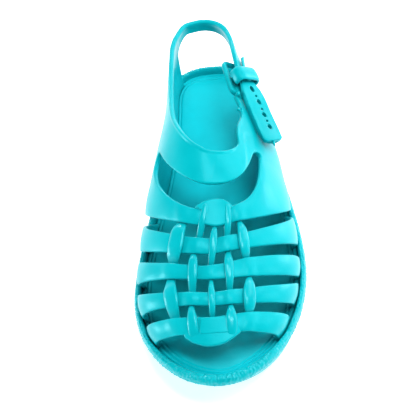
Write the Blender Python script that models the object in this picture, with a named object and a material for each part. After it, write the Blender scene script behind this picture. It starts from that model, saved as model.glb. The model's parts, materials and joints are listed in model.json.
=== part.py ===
"""Moulded fisherman sandal, left foot: sole tray, insole, one-piece cage upper
with sling strap, and a buckle made of frame, keeper and prong.

Design axes, in millimetres: x to the outer side of the foot, y from the toe
tip back to the heel, z up from the floor. Everything is scaled to metres and
centred when the meshes are made."""

import math

import bmesh
import bpy
import numpy as np

# ---------------------------------------------------------------- dimensions
LENGTH = 245.0            # sole, toe tip to heel
BALL_INNER = -48.8        # widest x of the inner side, at BALL_INNER_Y
BALL_INNER_Y = 66.6
BALL_OUTER = 49.1
BALL_OUTER_Y = 80.4
TOE_X, TOE_POWER = 0.2, 1.88
WAIST_INNER, WAIST_INNER_Y = -36.5, 158.0
WAIST_OUTER, WAIST_OUTER_Y = 39.3, 150.0
HEEL_X, HEEL_HALF, HEEL_DEPTH, HEEL_POWER = -3.0, 29.5, 30.0, 2.5

RIM_BALL_Z, RIM_TOE_RISE, RIM_HEEL_RISE = 15.0, 11.9, 11.8
RIM_WIDTH = 3.2           # width of the raised rim round the tray
RIM_TOE_EXTRA, RIM_TOE_FROM = 2.2, 30.0   # the rim broadens towards the toe tip
RIM_HEIGHT = 3.0          # rim above the insole
LIP_HEIGHT = 5.2          # outer lip under the rim
INSOLE_THICK = 2.2
GAP = 0.3                 # clearance between neighbouring pieces
TOE_SPRING = 19.0         # height of the underside at the toe tip
TOE_SPRING_LENGTH = 52.0
ARCH_HEIGHT, ARCH_FROM, ARCH_TO = 4.0, 116.0, 178.0
HEEL_BEVEL, HEEL_BEVEL_FROM = 3.0, 236.0
GROOVE_DEPTH, GROOVE_WIDTH = 1.6, 3.0
GROOVES_Y = (57, 68, 79, 90, 101, 112, 186, 197, 208, 219, 230)   # between the lugs

WALL = 2.8                # wall of the upper
BASE_INSET = 3.9          # foot of the upper, inside the sole outline
STRIP_THICK = 2.0         # woven lengthwise strips
STRIP_SINK = 0.5          # how far a strip melts into a strap it crosses
STRIP_END, STRIP_END_DROP = 4.0, 1.2   # an end that lies on a strap slopes into it

INNER_CELLS, MIDDLE_CELLS, OUTER_CELLS = 8, 20, 8

COLOUR = (0.006, 0.55, 0.62, 1.0)

# ------------------------------------------------------------------- tables
# sections of the last, toe to heel: height and x of the ridge, how fast the
# inner and outer sides fall away from it, and how far they belly out
LAST_COLUMNS = ("y", "ridge_z", "ridge_x", "fall_in", "fall_out",
                "belly_in", "belly_out")
LAST = (
    (0,   30.0,  0.0, 1.00, 1.00, 1.0, 1.0),
    (17,  36.0, -1.0, 1.00, 1.00, 3.0, 3.0),
    (35,  41.5, -1.5, 1.00, 1.00, 5.0, 5.0),
    (55,  46.5, -2.0, 1.00, 1.00, 6.5, 6.0),
    (75,  52.0, -2.0, 1.00, 1.00, 6.5, 6.0),
    (95,  59.0, -2.0, 1.00, 1.00, 7.0, 6.0),
    (110, 65.0, -3.0, 1.00, 1.05, 7.5, 6.5),
    (125, 70.5, -4.0, 0.95, 1.30, 7.5, 9.0),
    (145, 77.0, -5.0, 0.90, 1.90, 6.0, 14.0),
    (170, 82.0, -5.0, 0.80, 2.30, 2.5, 14.5),
    (200, 84.0, -5.0, 0.68, 2.60, 3.0, 12.0),
    (245, 84.0, -5.0, 0.65, 2.60, 2.0, 5.0),
)

# edges of the five cross straps: y on the ridge, y and power of the curve at
# the inner end and at the outer end, and the depth of the middle tab
EDGE_COLUMNS = ("name", "mid", "inner", "inner_pow", "outer", "outer_pow", "tab")
STRAP_EDGES = (
    ("s5_front", 21.9,  28.5, 1.20,  28.5, 1.20, -5.7),
    ("s5_rear",  30.7,  40.3, 1.15,  43.0, 1.15,  0.0),
    ("s4_front", 36.2,  47.4, 1.20,  51.8, 1.70,  0.0),
    ("s4_rear",  44.2,  65.5, 1.60,  67.8, 1.70,  0.0),
    ("s3_front", 50.4,  71.4, 1.40,  71.0, 1.70,  0.0),
    ("s3_rear",  58.5,  89.5, 1.50,  83.8, 1.25,  0.0),
    ("s2_front", 64.6,  97.6, 1.60,  93.6, 1.50,  0.0),
    ("s2_rear",  73.8, 118.3, 1.60, 117.0, 1.75,  0.0),
    ("s1_front", 80.4, 126.4, 1.60, 121.5, 1.75,  0.0),
)
# middle and half width of the front and the rear tab, as shares of the arch
TAB_FRONT, TAB_REAR = (-0.017, 0.33), (0.038, 0.16)
STRAP_SIDE = 0.5          # where the side columns of the straps begin

# lines behind the straps. "u" runs from -1 at the inner foot line over 0 on
# the ridge to 1 at the outer foot line. Each line has a middle part from
# (u_in, y_in) over y_mid to (u_out, y_out), and two side parts down to the
# foot lines at foot_in and foot_out; bend is the power of the outer side part
LINE_COLUMNS = ("name", "u_in", "y_in", "pow_in", "y_mid", "u_mid",
                "pow_out", "u_out", "y_out", "foot_in", "foot_out", "bend", "tab")
LINES = (
    ("window_front", -0.540, 120.5, 2.1,  90.2, 0.00, 2.9, 0.545, 128.8, 133.0, 131.0, 1.0, 5.0),
    ("window_1",     -0.585, 127.0, 2.0,  94.0, 0.02, 2.9, 0.560, 131.2, 138.0, 136.0, 0.85, 0.0),
    ("window_2",     -0.600, 132.0, 2.0,  97.0, 0.02, 2.8, 0.562, 133.0, 142.5, 141.0, 0.75, 0.0),
    ("window_3",     -0.580, 136.4, 1.9, 100.0, 0.03, 2.6, 0.542, 133.6, 146.5, 145.5, 0.65, 0.0),
    ("band_front",   -0.540, 139.2, 1.9, 103.1, 0.04, 2.3, 0.510, 131.7, 150.5, 149.0, 0.62, 0.0),
    ("band_1",       -0.475, 143.4, 2.0, 109.5, 0.07, 2.3, 0.478, 132.4, 154.5, 152.0, 0.65, 0.0),
    ("band_2",       -0.405, 147.4, 2.0, 116.0, 0.10, 2.2, 0.447, 133.0, 158.5, 154.5, 0.7, 0.0),
    ("band_rear",    -0.336, 151.2, 2.0, 122.5, 0.12, 2.2, 0.415, 133.4, 162.5, 157.0, 0.75, 0.0),
)
# both quarters behind the band: y and z of the top line, y of the foot line
QUARTER_COLUMNS = ("y_top_in", "z_top_in", "foot_in",
                   "y_top_out", "z_top_out", "foot_out", "bend")
QUARTERS = (
    (166.0, 68.2, 173.0, 140.5, 61.6, 162.0, 1.0),
    (179.0, 66.4, 184.0, 149.0, 61.3, 169.5, 1.2),
    (192.0, 65.6, 196.0, 158.0, 59.3, 178.5, 1.4),
    (205.0, 65.6, 208.0, 166.5, 59.2, 189.0, 1.6),
    (216.5, 66.0, 218.5, 172.5, 60.6, 200.5, 1.8),
    (226.0, 66.6, 228.0, 176.2, 61.6, 213.0, 1.9),
)
REAR_EDGE = (229.6, 66.8, 233.0)   # inner quarter: last line before the sling

# sling strap from the inner quarter round the heel, through the buckle to its
# tail: middle of its outer face, tilt of its width from upright, half width
SLING_COLUMNS = ("x", "y", "z", "tilt", "half")
SLING = (
    (-21.6, 233.2, 62.2,  4.0, 4.7),
    (-19.4, 237.4, 62.5,  3.0, 4.6),
    (-15.4, 241.2, 62.8,  1.5, 4.4),
    (-5.8,  244.6, 63.0,  0.0, 4.3),
    (3.2,   242.4, 63.0,  0.0, 4.3),
    (10.2,  235.6, 63.0,  3.0, 4.4),
    (14.6,  224.0, 63.2,  8.0, 4.6),
    (17.0,  211.0, 63.4, 15.0, 5.0),
    (19.7,  199.0, 63.1, 34.0, 5.1),
    (22.6,  188.5, 61.4, 54.0, 5.1),
    (25.8,  177.5, 58.0, 63.0, 5.2),
    (29.1,  166.0, 54.8, 68.0, 5.3),
    (32.4,  155.0, 52.9, 71.0, 5.4),
    (35.5,  145.0, 52.0, 73.0, 5.4),
)

# woven strips: u at the straps s1 to s5, half width over and between straps,
# and which straps the strip passes over
STRIP_COLUMNS = ("name", "u1", "u2", "u3", "u4", "u5", "half_over", "half_gap", "over")
STRIPS = (
    ("strip_1", -0.200, -0.275, -0.312, -0.340, -0.385, 3.4, 2.3, (2, 4)),
    ("strip_2", -0.043, -0.098, -0.148, -0.172, -0.222, 2.7, 2.1, (1, 3, 5)),
    ("strip_3",  0.036,  0.026,  0.004, -0.007, -0.015, 2.3, 1.9, (2, 4)),
    ("strip_4",  0.140,  0.130,  0.142,  0.154,  0.170, 2.8, 2.1, (1, 3, 5)),
    ("strip_5",  0.213,  0.245,  0.270,  0.292,  0.308, 3.0, 2.2, (2, 4)),
)

# buckle, in the strap's own axes at the keeper: along (towards the tail),
# across (down and outwards) and up (away from the foot)
BUCKLE_Y = 190.5
FRAME_ALONG = (-13.4, 9.5)
FRAME_ACROSS = (-8.0, 6.6)
FRAME_TURN = -5.0         # degrees in its own plane
FRAME_UP = -7.3
FRAME_BAR = 2.6
KEEPER_HALF_WIDTH = 4.6   # along the strap
KEEPER_ACROSS = (-9.6, 8.7)
KEEPER_UP = (-5.2, 4.7)   # foot and top of the keeper
KEEPER_WALL = 2.2
PRONG_ALONG = (4.0, -13.5)
PRONG_THICK = 1.5


# ------------------------------------------------------------- small helpers
def column(table, names, name):
    return np.array([row[names.index(name)] for row in table], float)


def smooth(xs, ys, x):
    """Cubic through the points of a table, with averaged slopes."""
    xs, ys, x = np.asarray(xs, float), np.asarray(ys, float), np.asarray(x, float)
    h = np.diff(xs)
    d = np.diff(ys) / h
    m = np.empty_like(ys)
    m[1:-1] = (d[:-1] * h[1:] + d[1:] * h[:-1]) / (h[:-1] + h[1:])
    m[0], m[-1] = d[0], d[-1]
    i = np.clip(np.searchsorted(xs, x) - 1, 0, len(xs) - 2)
    t = (x - xs[i]) / h[i]
    t2, t3 = t * t, t * t * t
    return ((2 * t3 - 3 * t2 + 1) * ys[i] + (t3 - 2 * t2 + t) * h[i] * m[i]
            + (3 * t2 - 2 * t3) * ys[i + 1] + (t3 - t2) * h[i] * m[i + 1])


def hermite(y0, x0, m0, y1, x1, m1, y):
    h = y1 - y0
    t = (y - y0) / h
    t2, t3 = t * t, t * t * t
    return ((2 * t3 - 3 * t2 + 1) * x0 + (t3 - 2 * t2 + t) * h * m0
            + (3 * t2 - 2 * t3) * x1 + (t3 - t2) * h * m1)


# ------------------------------------------------------------------- outline
def outline_side(t, outer):
    """One side of the sole outline, t from 0 at the toe tip to 1 at the heel."""
    t = np.asarray(t, float)
    ball, ball_y = (BALL_OUTER, BALL_OUTER_Y) if outer else (BALL_INNER, BALL_INNER_Y)
    waist, waist_y = (WAIST_OUTER, WAIST_OUTER_Y) if outer else (WAIST_INNER, WAIST_INNER_Y)
    heel = HEEL_X + (HEEL_HALF if outer else -HEEL_HALF)
    heel_y = LENGTH - HEEL_DEPTH
    toe_end, heel_start = 0.36, 0.78
    x, y = np.empty_like(t), np.empty_like(t)
    k = t <= toe_end
    a = t[k] / toe_end * math.pi / 2
    x[k] = TOE_X + (ball - TOE_X) * np.sin(a) ** (2 / TOE_POWER)
    y[k] = ball_y * (1 - np.cos(a) ** (2 / TOE_POWER))
    k = (t > toe_end) & (t <= heel_start)
    yy = ball_y + (heel_y - ball_y) * (t[k] - toe_end) / (heel_start - toe_end)
    slope = (heel - ball) / (heel_y - ball_y) * 1.15
    x[k] = np.where(yy < waist_y,
                    hermite(ball_y, ball, 0, waist_y, waist, slope, yy),
                    hermite(waist_y, waist, slope, heel_y, heel, 0, yy))
    y[k] = yy
    k = t > heel_start
    a = (t[k] - heel_start) / (1 - heel_start) * math.pi / 2
    x[k] = HEEL_X + (heel - HEEL_X) * np.cos(a) ** (2 / HEEL_POWER)
    y[k] = heel_y + HEEL_DEPTH * np.sin(a) ** (2 / HEEL_POWER)
    return x, y


def outline(n, inset=0.0):
    """Closed loop of 2n points: inner side toe to heel, outer side back."""
    t = np.linspace(0, 1, n + 1)
    xi, yi = outline_side(t, False)
    xo, yo = outline_side(t, True)
    loop = np.concatenate([np.stack([xi, yi], 1), np.stack([xo, yo], 1)[::-1][1:-1]])
    d = np.roll(loop, -1, 0) - np.roll(loop, 1, 0)
    d /= np.linalg.norm(d, axis=1, keepdims=True)
    inset = np.broadcast_to(inset, len(loop))[:, None]
    return loop + np.stack([d[:, 1], -d[:, 0]], 1) * inset


_foot_lines = {}


def foot_line_x(y, outer):
    """x of the line where the upper stands, from y."""
    if outer not in _foot_lines:
        n = 400
        loop = outline(n, BASE_INSET)
        half = np.concatenate([loop[:1], loop[n:][::-1]]) if outer else loop[:n + 1]
        _foot_lines[outer] = half[np.argsort(half[:, 1], kind="stable")]
    half = _foot_lines[outer]
    return np.interp(y, half[:, 1], half[:, 0])


def rim_z(y):
    y = np.asarray(y, float)
    return (RIM_BALL_Z + RIM_TOE_RISE * np.clip((70 - y) / 70, 0, 1) ** 2
            + RIM_HEEL_RISE * np.clip((y - 90) / (LENGTH - 90), 0, 1) ** 1.5)


def rim_width(y):
    return RIM_WIDTH + RIM_TOE_EXTRA * np.clip(1 - y / RIM_TOE_FROM, 0, 1) ** 0.7


def underside_z(y):
    y = np.asarray(y, float)
    toe = TOE_SPRING * np.clip((TOE_SPRING_LENGTH - y) / TOE_SPRING_LENGTH, 0, 1) ** 2.2
    a = np.clip((y - ARCH_FROM) / (ARCH_TO - ARCH_FROM), 0, 1)
    arch = ARCH_HEIGHT * np.sin(math.pi * a) ** 2
    heel = HEEL_BEVEL * np.clip((y - HEEL_BEVEL_FROM) / (LENGTH - HEEL_BEVEL_FROM), 0, 1) ** 2
    return toe + arch + heel


# ---------------------------------------------------------------------- last
def last(y, u):
    """Outer face of the upper at section y, u across the arch."""
    y, u = np.broadcast_arrays(np.asarray(y, float), np.asarray(u, float))
    ys = column(LAST, LAST_COLUMNS, "y")
    ridge_z, ridge_x, fall_in, fall_out, belly_in, belly_out = (
        smooth(ys, column(LAST, LAST_COLUMNS, name), y) for name in LAST_COLUMNS[1:])
    foot_z = rim_z(y) - RIM_HEIGHT + GAP
    height = ridge_z - foot_z
    a = (1 - np.abs(u)) * math.pi / 2
    c, s = np.clip(np.cos(a), 1e-9, None), np.sin(a)
    free = np.clip((s * height - RIM_HEIGHT) / (height - RIM_HEIGHT), 0, 1)
    b = np.arcsin(free)
    inner = u < 0
    foot_x = np.where(inner, foot_line_x(y, False), foot_line_x(y, True))
    fall = np.where(inner, fall_in, fall_out)
    belly = np.where(inner, -belly_in * np.sin(2 * b) * np.cos(b) ** 3,
                     belly_out * np.sin(2 * b) * np.cos(b) ** 5)
    return np.stack([ridge_x + (foot_x - ridge_x) * c ** fall + belly, y,
                     foot_z + height * s], -1)


def last_normal(y, u):
    y, u = np.broadcast_arrays(np.asarray(y, float), np.asarray(u, float))
    u = np.clip(u, -0.995, 0.995)
    du = last(y, u + 0.004) - last(y, u - 0.004)
    dy = last(y + 0.6, u) - last(y - 0.6, u)
    n = np.cross(du, dy)
    return n / np.linalg.norm(n, axis=-1, keepdims=True)


def u_at_height(y, z, outer):
    """u where section y of the last reaches height z."""
    foot_z = rim_z(y) - RIM_HEIGHT + GAP
    ridge = smooth(column(LAST, LAST_COLUMNS, "y"),
                   column(LAST, LAST_COLUMNS, "ridge_z"), y)
    u = 1 - math.asin((z - foot_z) / (ridge - foot_z)) / (math.pi / 2)
    return u if outer else -u


def tab_shape(u, depth):
    mid, half = TAB_REAR if depth > 0 else TAB_FRONT
    return depth * np.clip(1 - ((u - mid) / half) ** 2, 0, None)


def strap_edge(row, u):
    e = dict(zip(EDGE_COLUMNS, row))
    a = np.abs(u)
    y = np.where(u < 0,
                 e["mid"] + (e["inner"] - e["mid"]) * a ** e["inner_pow"],
                 e["mid"] + (e["outer"] - e["mid"]) * a ** e["outer_pow"])
    return y + tab_shape(u, e["tab"])


def spread(u_in, u_out, cells):
    """u of every column, given where the side columns begin."""
    n_in, n_mid, n_out = cells
    return np.concatenate([np.linspace(-1, u_in, n_in + 1)[:-1],
                           np.linspace(u_in, u_out, n_mid + 1),
                           np.linspace(u_out, 1, n_out + 1)[1:]])


def line_points(row, cells):
    """u and y along one line behind the straps."""
    e = dict(zip(LINE_COLUMNS, row))
    u = spread(e["u_in"], e["u_out"], cells)
    y = np.empty_like(u)
    mid_in = (u < e["u_mid"]) & (u >= e["u_in"] - 1e-9)
    mid_out = (u >= e["u_mid"]) & (u <= e["u_out"] + 1e-9)
    y[mid_in] = e["y_mid"] + (e["y_in"] - e["y_mid"]) * (
        (e["u_mid"] - u[mid_in]) / (e["u_mid"] - e["u_in"])) ** e["pow_in"]
    y[mid_out] = e["y_mid"] + (e["y_out"] - e["y_mid"]) * (
        (u[mid_out] - e["u_mid"]) / (e["u_out"] - e["u_mid"])) ** e["pow_out"]
    k = u < e["u_in"] - 1e-9
    y[k] = e["y_in"] + (e["foot_in"] - e["y_in"]) * (e["u_in"] - u[k]) / (e["u_in"] + 1)
    k = u > e["u_out"] + 1e-9
    y[k] = e["y_out"] + (e["foot_out"] - e["y_out"]) * (
        (u[k] - e["u_out"]) / (1 - e["u_out"])) ** e["bend"]
    return u, y + tab_shape(u, e["tab"])


def quarter_points(row, cells):
    e = dict(zip(QUARTER_COLUMNS, row))
    u_in = u_at_height(e["y_top_in"], e["z_top_in"], False)
    u_out = u_at_height(e["y_top_out"], e["z_top_out"], True)
    u = spread(u_in, u_out, cells)
    y = np.interp(u, [u_in, u_out], [e["y_top_in"], e["y_top_out"]])
    k = u < u_in
    y[k] = e["y_top_in"] + (e["foot_in"] - e["y_top_in"]) * (u_in - u[k]) / (u_in + 1)
    k = u > u_out
    y[k] = e["y_top_out"] + (e["foot_out"] - e["y_top_out"]) * (
        (u[k] - u_out) / (1 - u_out)) ** e["bend"]
    return u, y


# --------------------------------------------------------------------- sling
def sling_at(s):
    """Middle, across (downwards) and outward directions of the sling at s,
    counted in rows of its table, with its half width."""
    n = np.arange(len(SLING))
    c = np.stack([smooth(n, column(SLING, SLING_COLUMNS, k), s) for k in "xyz"], -1)
    ahead = np.stack([smooth(n, column(SLING, SLING_COLUMNS, k), np.asarray(s) + 0.02)
                      for k in "xyz"], -1)
    along = ahead - c
    along /= np.linalg.norm(along, axis=-1, keepdims=True)
    tilt = np.radians(smooth(n, column(SLING, SLING_COLUMNS, "tilt"), s))
    flat = np.stack([along[..., 0], along[..., 1], 0 * tilt], -1)
    flat /= np.linalg.norm(flat, axis=-1, keepdims=True)
    side = np.stack([-flat[..., 1], flat[..., 0], 0 * tilt], -1)   # away from the foot
    across = side * np.sin(tilt)[..., None] + np.array([0, 0, -1.0]) * np.cos(tilt)[..., None]
    across -= along * np.sum(across * along, -1, keepdims=True)
    across /= np.linalg.norm(across, axis=-1, keepdims=True)
    out = np.cross(along, across)
    half = smooth(n, column(SLING, SLING_COLUMNS, "half"), s)
    return c, across, out, half


def sling_place(y):
    """Place along the sling, on the outer side, where it passes y."""
    s = np.linspace(3, len(SLING) - 1, 2001)
    ys = smooth(np.arange(len(SLING)), column(SLING, SLING_COLUMNS, "y"), s)
    return s[np.argmin(np.abs(ys - y))]


# ------------------------------------------------------------- mesh plumbing
def place(points):
    """Design millimetres to metres, centred over the floor."""
    p = np.asarray(points, float).copy()
    p[..., 0] -= (BALL_INNER + BALL_OUTER) / 2
    p[..., 1] -= LENGTH / 2
    return p / 1000.0


def make_object(name, points, faces, material, smooth_angle=40):
    bm = bmesh.new()
    verts = [bm.verts.new(p) for p in place(points)]
    for f in faces:
        bm.faces.new([verts[i] for i in f])
    loose = [v for v in bm.verts if not v.link_faces]
    bmesh.ops.delete(bm, geom=loose, context="VERTS")
    bmesh.ops.recalc_face_normals(bm, faces=bm.faces)
    mesh = bpy.data.meshes.new(name)
    bm.to_mesh(mesh)
    bm.free()
    mesh.materials.append(material)
    mesh.shade_smooth()
    mesh.set_sharp_from_angle(angle=math.radians(smooth_angle))
    obj = bpy.data.objects.new(name, mesh)
    bpy.context.scene.collection.objects.link(obj)
    return obj


def guide(obj):
    obj.hide_render = True
    obj.display_type = "WIRE"
    return obj


def pvc(name, colour, roughness):
    mat = bpy.data.materials.new(name)
    mat.use_nodes = True
    shader = mat.node_tree.nodes["Principled BSDF"]
    shader.inputs["Base Color"].default_value = colour
    shader.inputs["Roughness"].default_value = roughness
    shader.inputs["Metallic"].default_value = 0.0
    return mat


def tube_faces(rings, count, close_ends=True):
    """Quads between successive rings of count points each, with end caps."""
    faces = []
    for r in range(rings - 1):
        for k in range(count):
            a, b = r * count + k, r * count + (k + 1) % count
            faces.append((a, b, b + count, a + count))
    if close_ends:
        faces.append(tuple(range(count - 1, -1, -1)))
        faces.append(tuple((rings - 1) * count + k for k in range(count)))
    return faces


def rib_cap(first, n, flip):
    """Face strips across a loop of 2n points, inner side to outer side."""
    faces = []
    for i in range(n):
        a, b = first + i, first + i + 1
        c = first + (2 * n - i - 1) % (2 * n)
        d = first + (2 * n - i) % (2 * n)
        face = [a, b, c, d]
        face = [v for k, v in enumerate(face) if v not in face[:k]]
        faces.append(tuple(face[::-1] if flip else face))
    return faces


# ---------------------------------------------------------------------- sole
def build_sole(material, n=44):
    """Loops from the underside up the wall, over the rim and down to the tray."""
    base = outline(n)
    rim, lip = rim_z(base[:, 1]), rim_z(base[:, 1]) - LIP_HEIGHT
    width = rim_width(base[:, 1])
    rows = []
    for inset, share_down in ((7.0, 1.00), (3.0, 0.86), (2.0, 0.55), (1.3, 0.0)):
        loop = outline(n, inset)
        floor = underside_z(loop[:, 1])
        rows.append(np.column_stack([loop, np.maximum(lip + (floor - lip) * share_down, floor)]))
    for share_in, below in ((0.0, 3.6), (0.0, 1.6), (0.2, 0.3), (0.5, 0.0), (0.8, 0.3), (1.0, 1.1)):
        rows.append(np.column_stack([outline(n, width * share_in), rim - below]))
    loop = outline(n, width)
    rows.append(np.column_stack([loop, rim_z(loop[:, 1]) - RIM_HEIGHT - INSOLE_THICK - GAP]))
    points = np.concatenate(rows)
    faces = tube_faces(len(rows), 2 * n, close_ends=False)
    faces += rib_cap(0, n, True)
    faces += rib_cap((len(rows) - 1) * 2 * n, n, False)
    sole = make_object("sole", points, faces, material)
    cut = sole.modifiers.new("grooves", "BOOLEAN")
    cut.operation = "DIFFERENCE"
    cut.solver = "EXACT"
    cut.object = build_grooves(material)
    return sole


def build_grooves(material):
    """Straight bars that part the underside into cross lugs."""
    points, faces = [], []
    for y in GROOVES_Y:
        first = len(points)
        for yy in (y - GROOVE_WIDTH / 2, y + GROOVE_WIDTH / 2):
            for x, z in ((-70, -4), (70, -4), (70, GROOVE_DEPTH), (-70, GROOVE_DEPTH)):
                points.append((x, yy, z))
        faces += [tuple(first + k for k in f) for f in tube_faces(2, 4)]
    return guide(make_object("grooves", np.array(points, float), faces, material))


def build_insole(material, n=44):
    loop = outline(n, rim_width(outline(n)[:, 1]) + GAP)
    top = rim_z(loop[:, 1]) - RIM_HEIGHT
    points = np.concatenate([np.column_stack([loop, top - INSOLE_THICK]),
                             np.column_stack([loop, top])])
    faces = tube_faces(2, 2 * n, close_ends=False)
    faces += rib_cap(0, n, True) + rib_cap(2 * n, n, False)
    return make_object("insole", points, faces, material)


# --------------------------------------------------------------------- upper
def sling_row(s, cells):
    """Points and normals across the sling, lower edge first."""
    c, across, out, half = sling_at(s)
    levels = np.linspace(1, -1, cells + 1) * half
    return c + levels[:, None] * across, np.tile(out, (cells + 1, 1))


def bridge(ahead, start, start_normals, rows, count):
    """Rows that lead smoothly from the inner quarter into the sling."""
    end, end_normals = rows[0]
    reach = np.linalg.norm(end - start, axis=1, keepdims=True)
    leave, arrive = start - ahead, rows[1][0] - end
    leave = leave / np.linalg.norm(leave, axis=1, keepdims=True) * reach
    arrive = arrive / np.linalg.norm(arrive, axis=1, keepdims=True) * reach
    made = []
    for k in range(1, count + 1):
        t = k / (count + 1)
        t2, t3 = t * t, t * t * t
        p = ((2 * t3 - 3 * t2 + 1) * start + (t3 - 2 * t2 + t) * leave
             + (3 * t2 - 2 * t3) * end + (t3 - t2) * arrive)
        n = start_normals * (1 - t) + end_normals * t
        made.append((p, n / np.linalg.norm(n, axis=1, keepdims=True)))
    return made


def cage_surface(cells, strap_rows, sling_steps):
    """Outer face of the straps, band, quarters and sling as one quad net."""
    n_in, n_mid, n_out = cells
    width = n_in + n_mid + n_out + 1
    us, ys, solid = [], [], []     # solid: which cell groups exist before each line
    u = spread(-STRAP_SIDE, STRAP_SIDE, cells)
    for k in range(0, len(STRAP_EDGES) - 1, 2):
        front, rear = strap_edge(STRAP_EDGES[k], u), strap_edge(STRAP_EDGES[k + 1], u)
        for i in range(strap_rows + 1):
            us.append(u)
            ys.append(front + (rear - front) * i / strap_rows)
            solid.append("none" if i == 0 else "all")
    front = strap_edge(STRAP_EDGES[-1], u)
    window_u, window_y = line_points(LINES[0], cells)
    for i in range(strap_rows + 2):
        t = i / (strap_rows + 1)
        us.append(u + (window_u - u) * t)
        ys.append(front + (window_y - front) * t)
        solid.append("none" if i == 0 else "all")
    for row in LINES[1:]:
        lu, ly = line_points(row, cells)
        us.append(lu)
        ys.append(ly)
        solid.append("sides" if row[0].startswith("window") or row[0] == "band_front" else "all")
    for row in QUARTERS:
        lu, ly = quarter_points(row, cells)
        us.append(lu)
        ys.append(ly)
        solid.append("sides")
    us, ys = np.array(us), np.array(ys)
    points = last(ys, us).reshape(-1, 3)
    normals = last_normal(ys, us).reshape(-1, 3)
    faces = []
    for i in range(1, len(us)):
        if solid[i] == "none":
            continue
        for j in range(width - 1):
            if solid[i] == "sides" and n_in <= j < n_in + n_mid:
                continue
            a = (i - 1) * width + j
            faces.append((a, a + 1, a + 1 + width, a + width))
    # last line of the inner quarter, then the sling grows from its upper part
    y_top, z_top, foot = REAR_EDGE
    u_top = u_at_height(y_top, z_top, False)
    lu = np.linspace(-1, u_top, n_in + 1)
    ly = y_top + (foot - y_top) * (u_top - lu) / (u_top + 1)
    start = len(points)
    points = np.concatenate([points, last(ly, lu)])
    normals = np.concatenate([normals, last_normal(ly, lu)])
    row0 = (len(us) - 1) * width
    for j in range(n_in):
        faces.append((row0 + j, row0 + j + 1, start + j + 1, start + j))
    strap = max(2, round(n_in * 0.25))
    before = [start + n_in - strap + k for k in range(strap + 1)]
    ahead = [row0 + n_in - strap + k for k in range(strap + 1)]
    rows = [sling_row(s, strap) for s in np.linspace(0, len(SLING) - 1, sling_steps)]
    rows = bridge(points[ahead], points[before], normals[before], rows, 3) + rows
    for row_points, row_normals in rows:
        now = [len(points) + k for k in range(strap + 1)]
        points = np.concatenate([points, row_points])
        normals = np.concatenate([normals, row_normals])
        for k in range(strap):
            faces.append((before[k], before[k + 1], now[k + 1], now[k]))
        before = now
    return points, normals, faces


def thicken(points, normals, faces, wall):
    """Closed shell: the net, a copy of it a wall's thickness inside, and the edges."""
    n = len(points)
    used = {}
    for f in faces:
        for a, b in zip(f, f[1:] + f[:1]):
            used[(a, b)] = used.get((a, b), 0) + 1
    shell = list(faces) + [tuple(v + n for v in reversed(f)) for f in faces]
    for a, b in used:
        if (b, a) not in used:
            shell.append((b, a, a + n, b + n))
    return np.concatenate([points, points - normals * wall]), shell


def strip_path(row, per_strap=4):
    """Stations along a woven strip: y, u, height over the straps, half width."""
    e = dict(zip(STRIP_COLUMNS, row))
    us = [e["u5"], e["u4"], e["u3"], e["u2"], e["u1"]]
    over = [5 in e["over"], 4 in e["over"], 3 in e["over"], 2 in e["over"], 1 in e["over"]]
    high = STRIP_THICK / 2 - STRIP_SINK
    low = -WALL - high
    ys, uu, up, half = [], [], [], []
    for k in range(5):
        u = np.array(us[k])
        front = float(strap_edge(STRAP_EDGES[2 * k], u))
        rear = (float(strap_edge(STRAP_EDGES[2 * k + 1], u)) if k < 4
                else float(strap_edge(STRAP_EDGES[8], u)) + 10.0)
        level = high if over[k] else low
        ys.append((front + rear) / 2)
        uu.append(us[k])
        up.append(level)
        half.append(e["half_over"] if over[k] else e["half_gap"])
        if k < 4:
            ahead = float(strap_edge(STRAP_EDGES[2 * k + 2], u))
            ys.append((rear + ahead) / 2)
            uu.append((us[k] + us[k + 1]) / 2)
            up.append((high + low) / 2)
            half.append(e["half_gap"])
    ys, uu, up, half = map(np.array, (ys, uu, up, half))
    # run on past the end straps where the strip lies on top, stop inside otherwise
    first = ys[0] - (4.0 if over[0] else 1.0)
    final = ys[-1] + (4.0 if over[-1] else 1.0)
    y = np.linspace(first, final, 8 * per_strap + 1)
    yc = np.clip(y, ys[0], ys[-1])
    up = smooth(ys, up, yc)
    for end, lies_over in ((first, over[0]), (final, over[-1])):
        if lies_over:
            up -= STRIP_END_DROP * np.clip(1 - np.abs(y - end) / STRIP_END, 0, 1) ** 2
    return y, smooth(ys, uu, yc), up, smooth(ys, half, yc)


def build_strip(row, material):
    y, u, up, half = strip_path(row)
    mid = last(y, u)
    n = last_normal(y, u)
    along = np.gradient(mid, axis=0)
    along /= np.linalg.norm(along, axis=1, keepdims=True)
    side = np.cross(along, n)
    side /= np.linalg.norm(side, axis=1, keepdims=True)
    c = mid + n * up[:, None]
    section = ((-1.0, -1.0), (-1.0, 0.3), (-0.6, 1.0), (0.6, 1.0), (1.0, 0.3), (1.0, -1.0))
    rings = [c + side * (half * a)[:, None] + n * (b * STRIP_THICK / 2) for a, b in section]
    points = np.stack(rings, 1).reshape(-1, 3)
    return guide(make_object(row[0], points, tube_faces(len(y), len(section)), material))


def build_upper(material):
    cells = (INNER_CELLS, MIDDLE_CELLS, OUTER_CELLS)
    upper = make_object("upper", *thicken(*cage_surface(cells, 2, 40), WALL), material)
    for row in STRIPS:
        join = upper.modifiers.new(row[0], "BOOLEAN")
        join.operation = "UNION"
        join.solver = "EXACT"
        join.object = build_strip(row, material)
    return upper


# -------------------------------------------------------------------- buckle
def buckle_axes():
    c, across, out, half = sling_at(sling_place(BUCKLE_Y))
    return c, np.cross(across, out), across, out


def in_buckle(local):
    """Buckle axes (along, across, up) to design millimetres."""
    c, along, across, out = buckle_axes()
    local = np.asarray(local, float)
    return (c + local[..., :1] * along + local[..., 1:2] * across + local[..., 2:3] * out)


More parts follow.
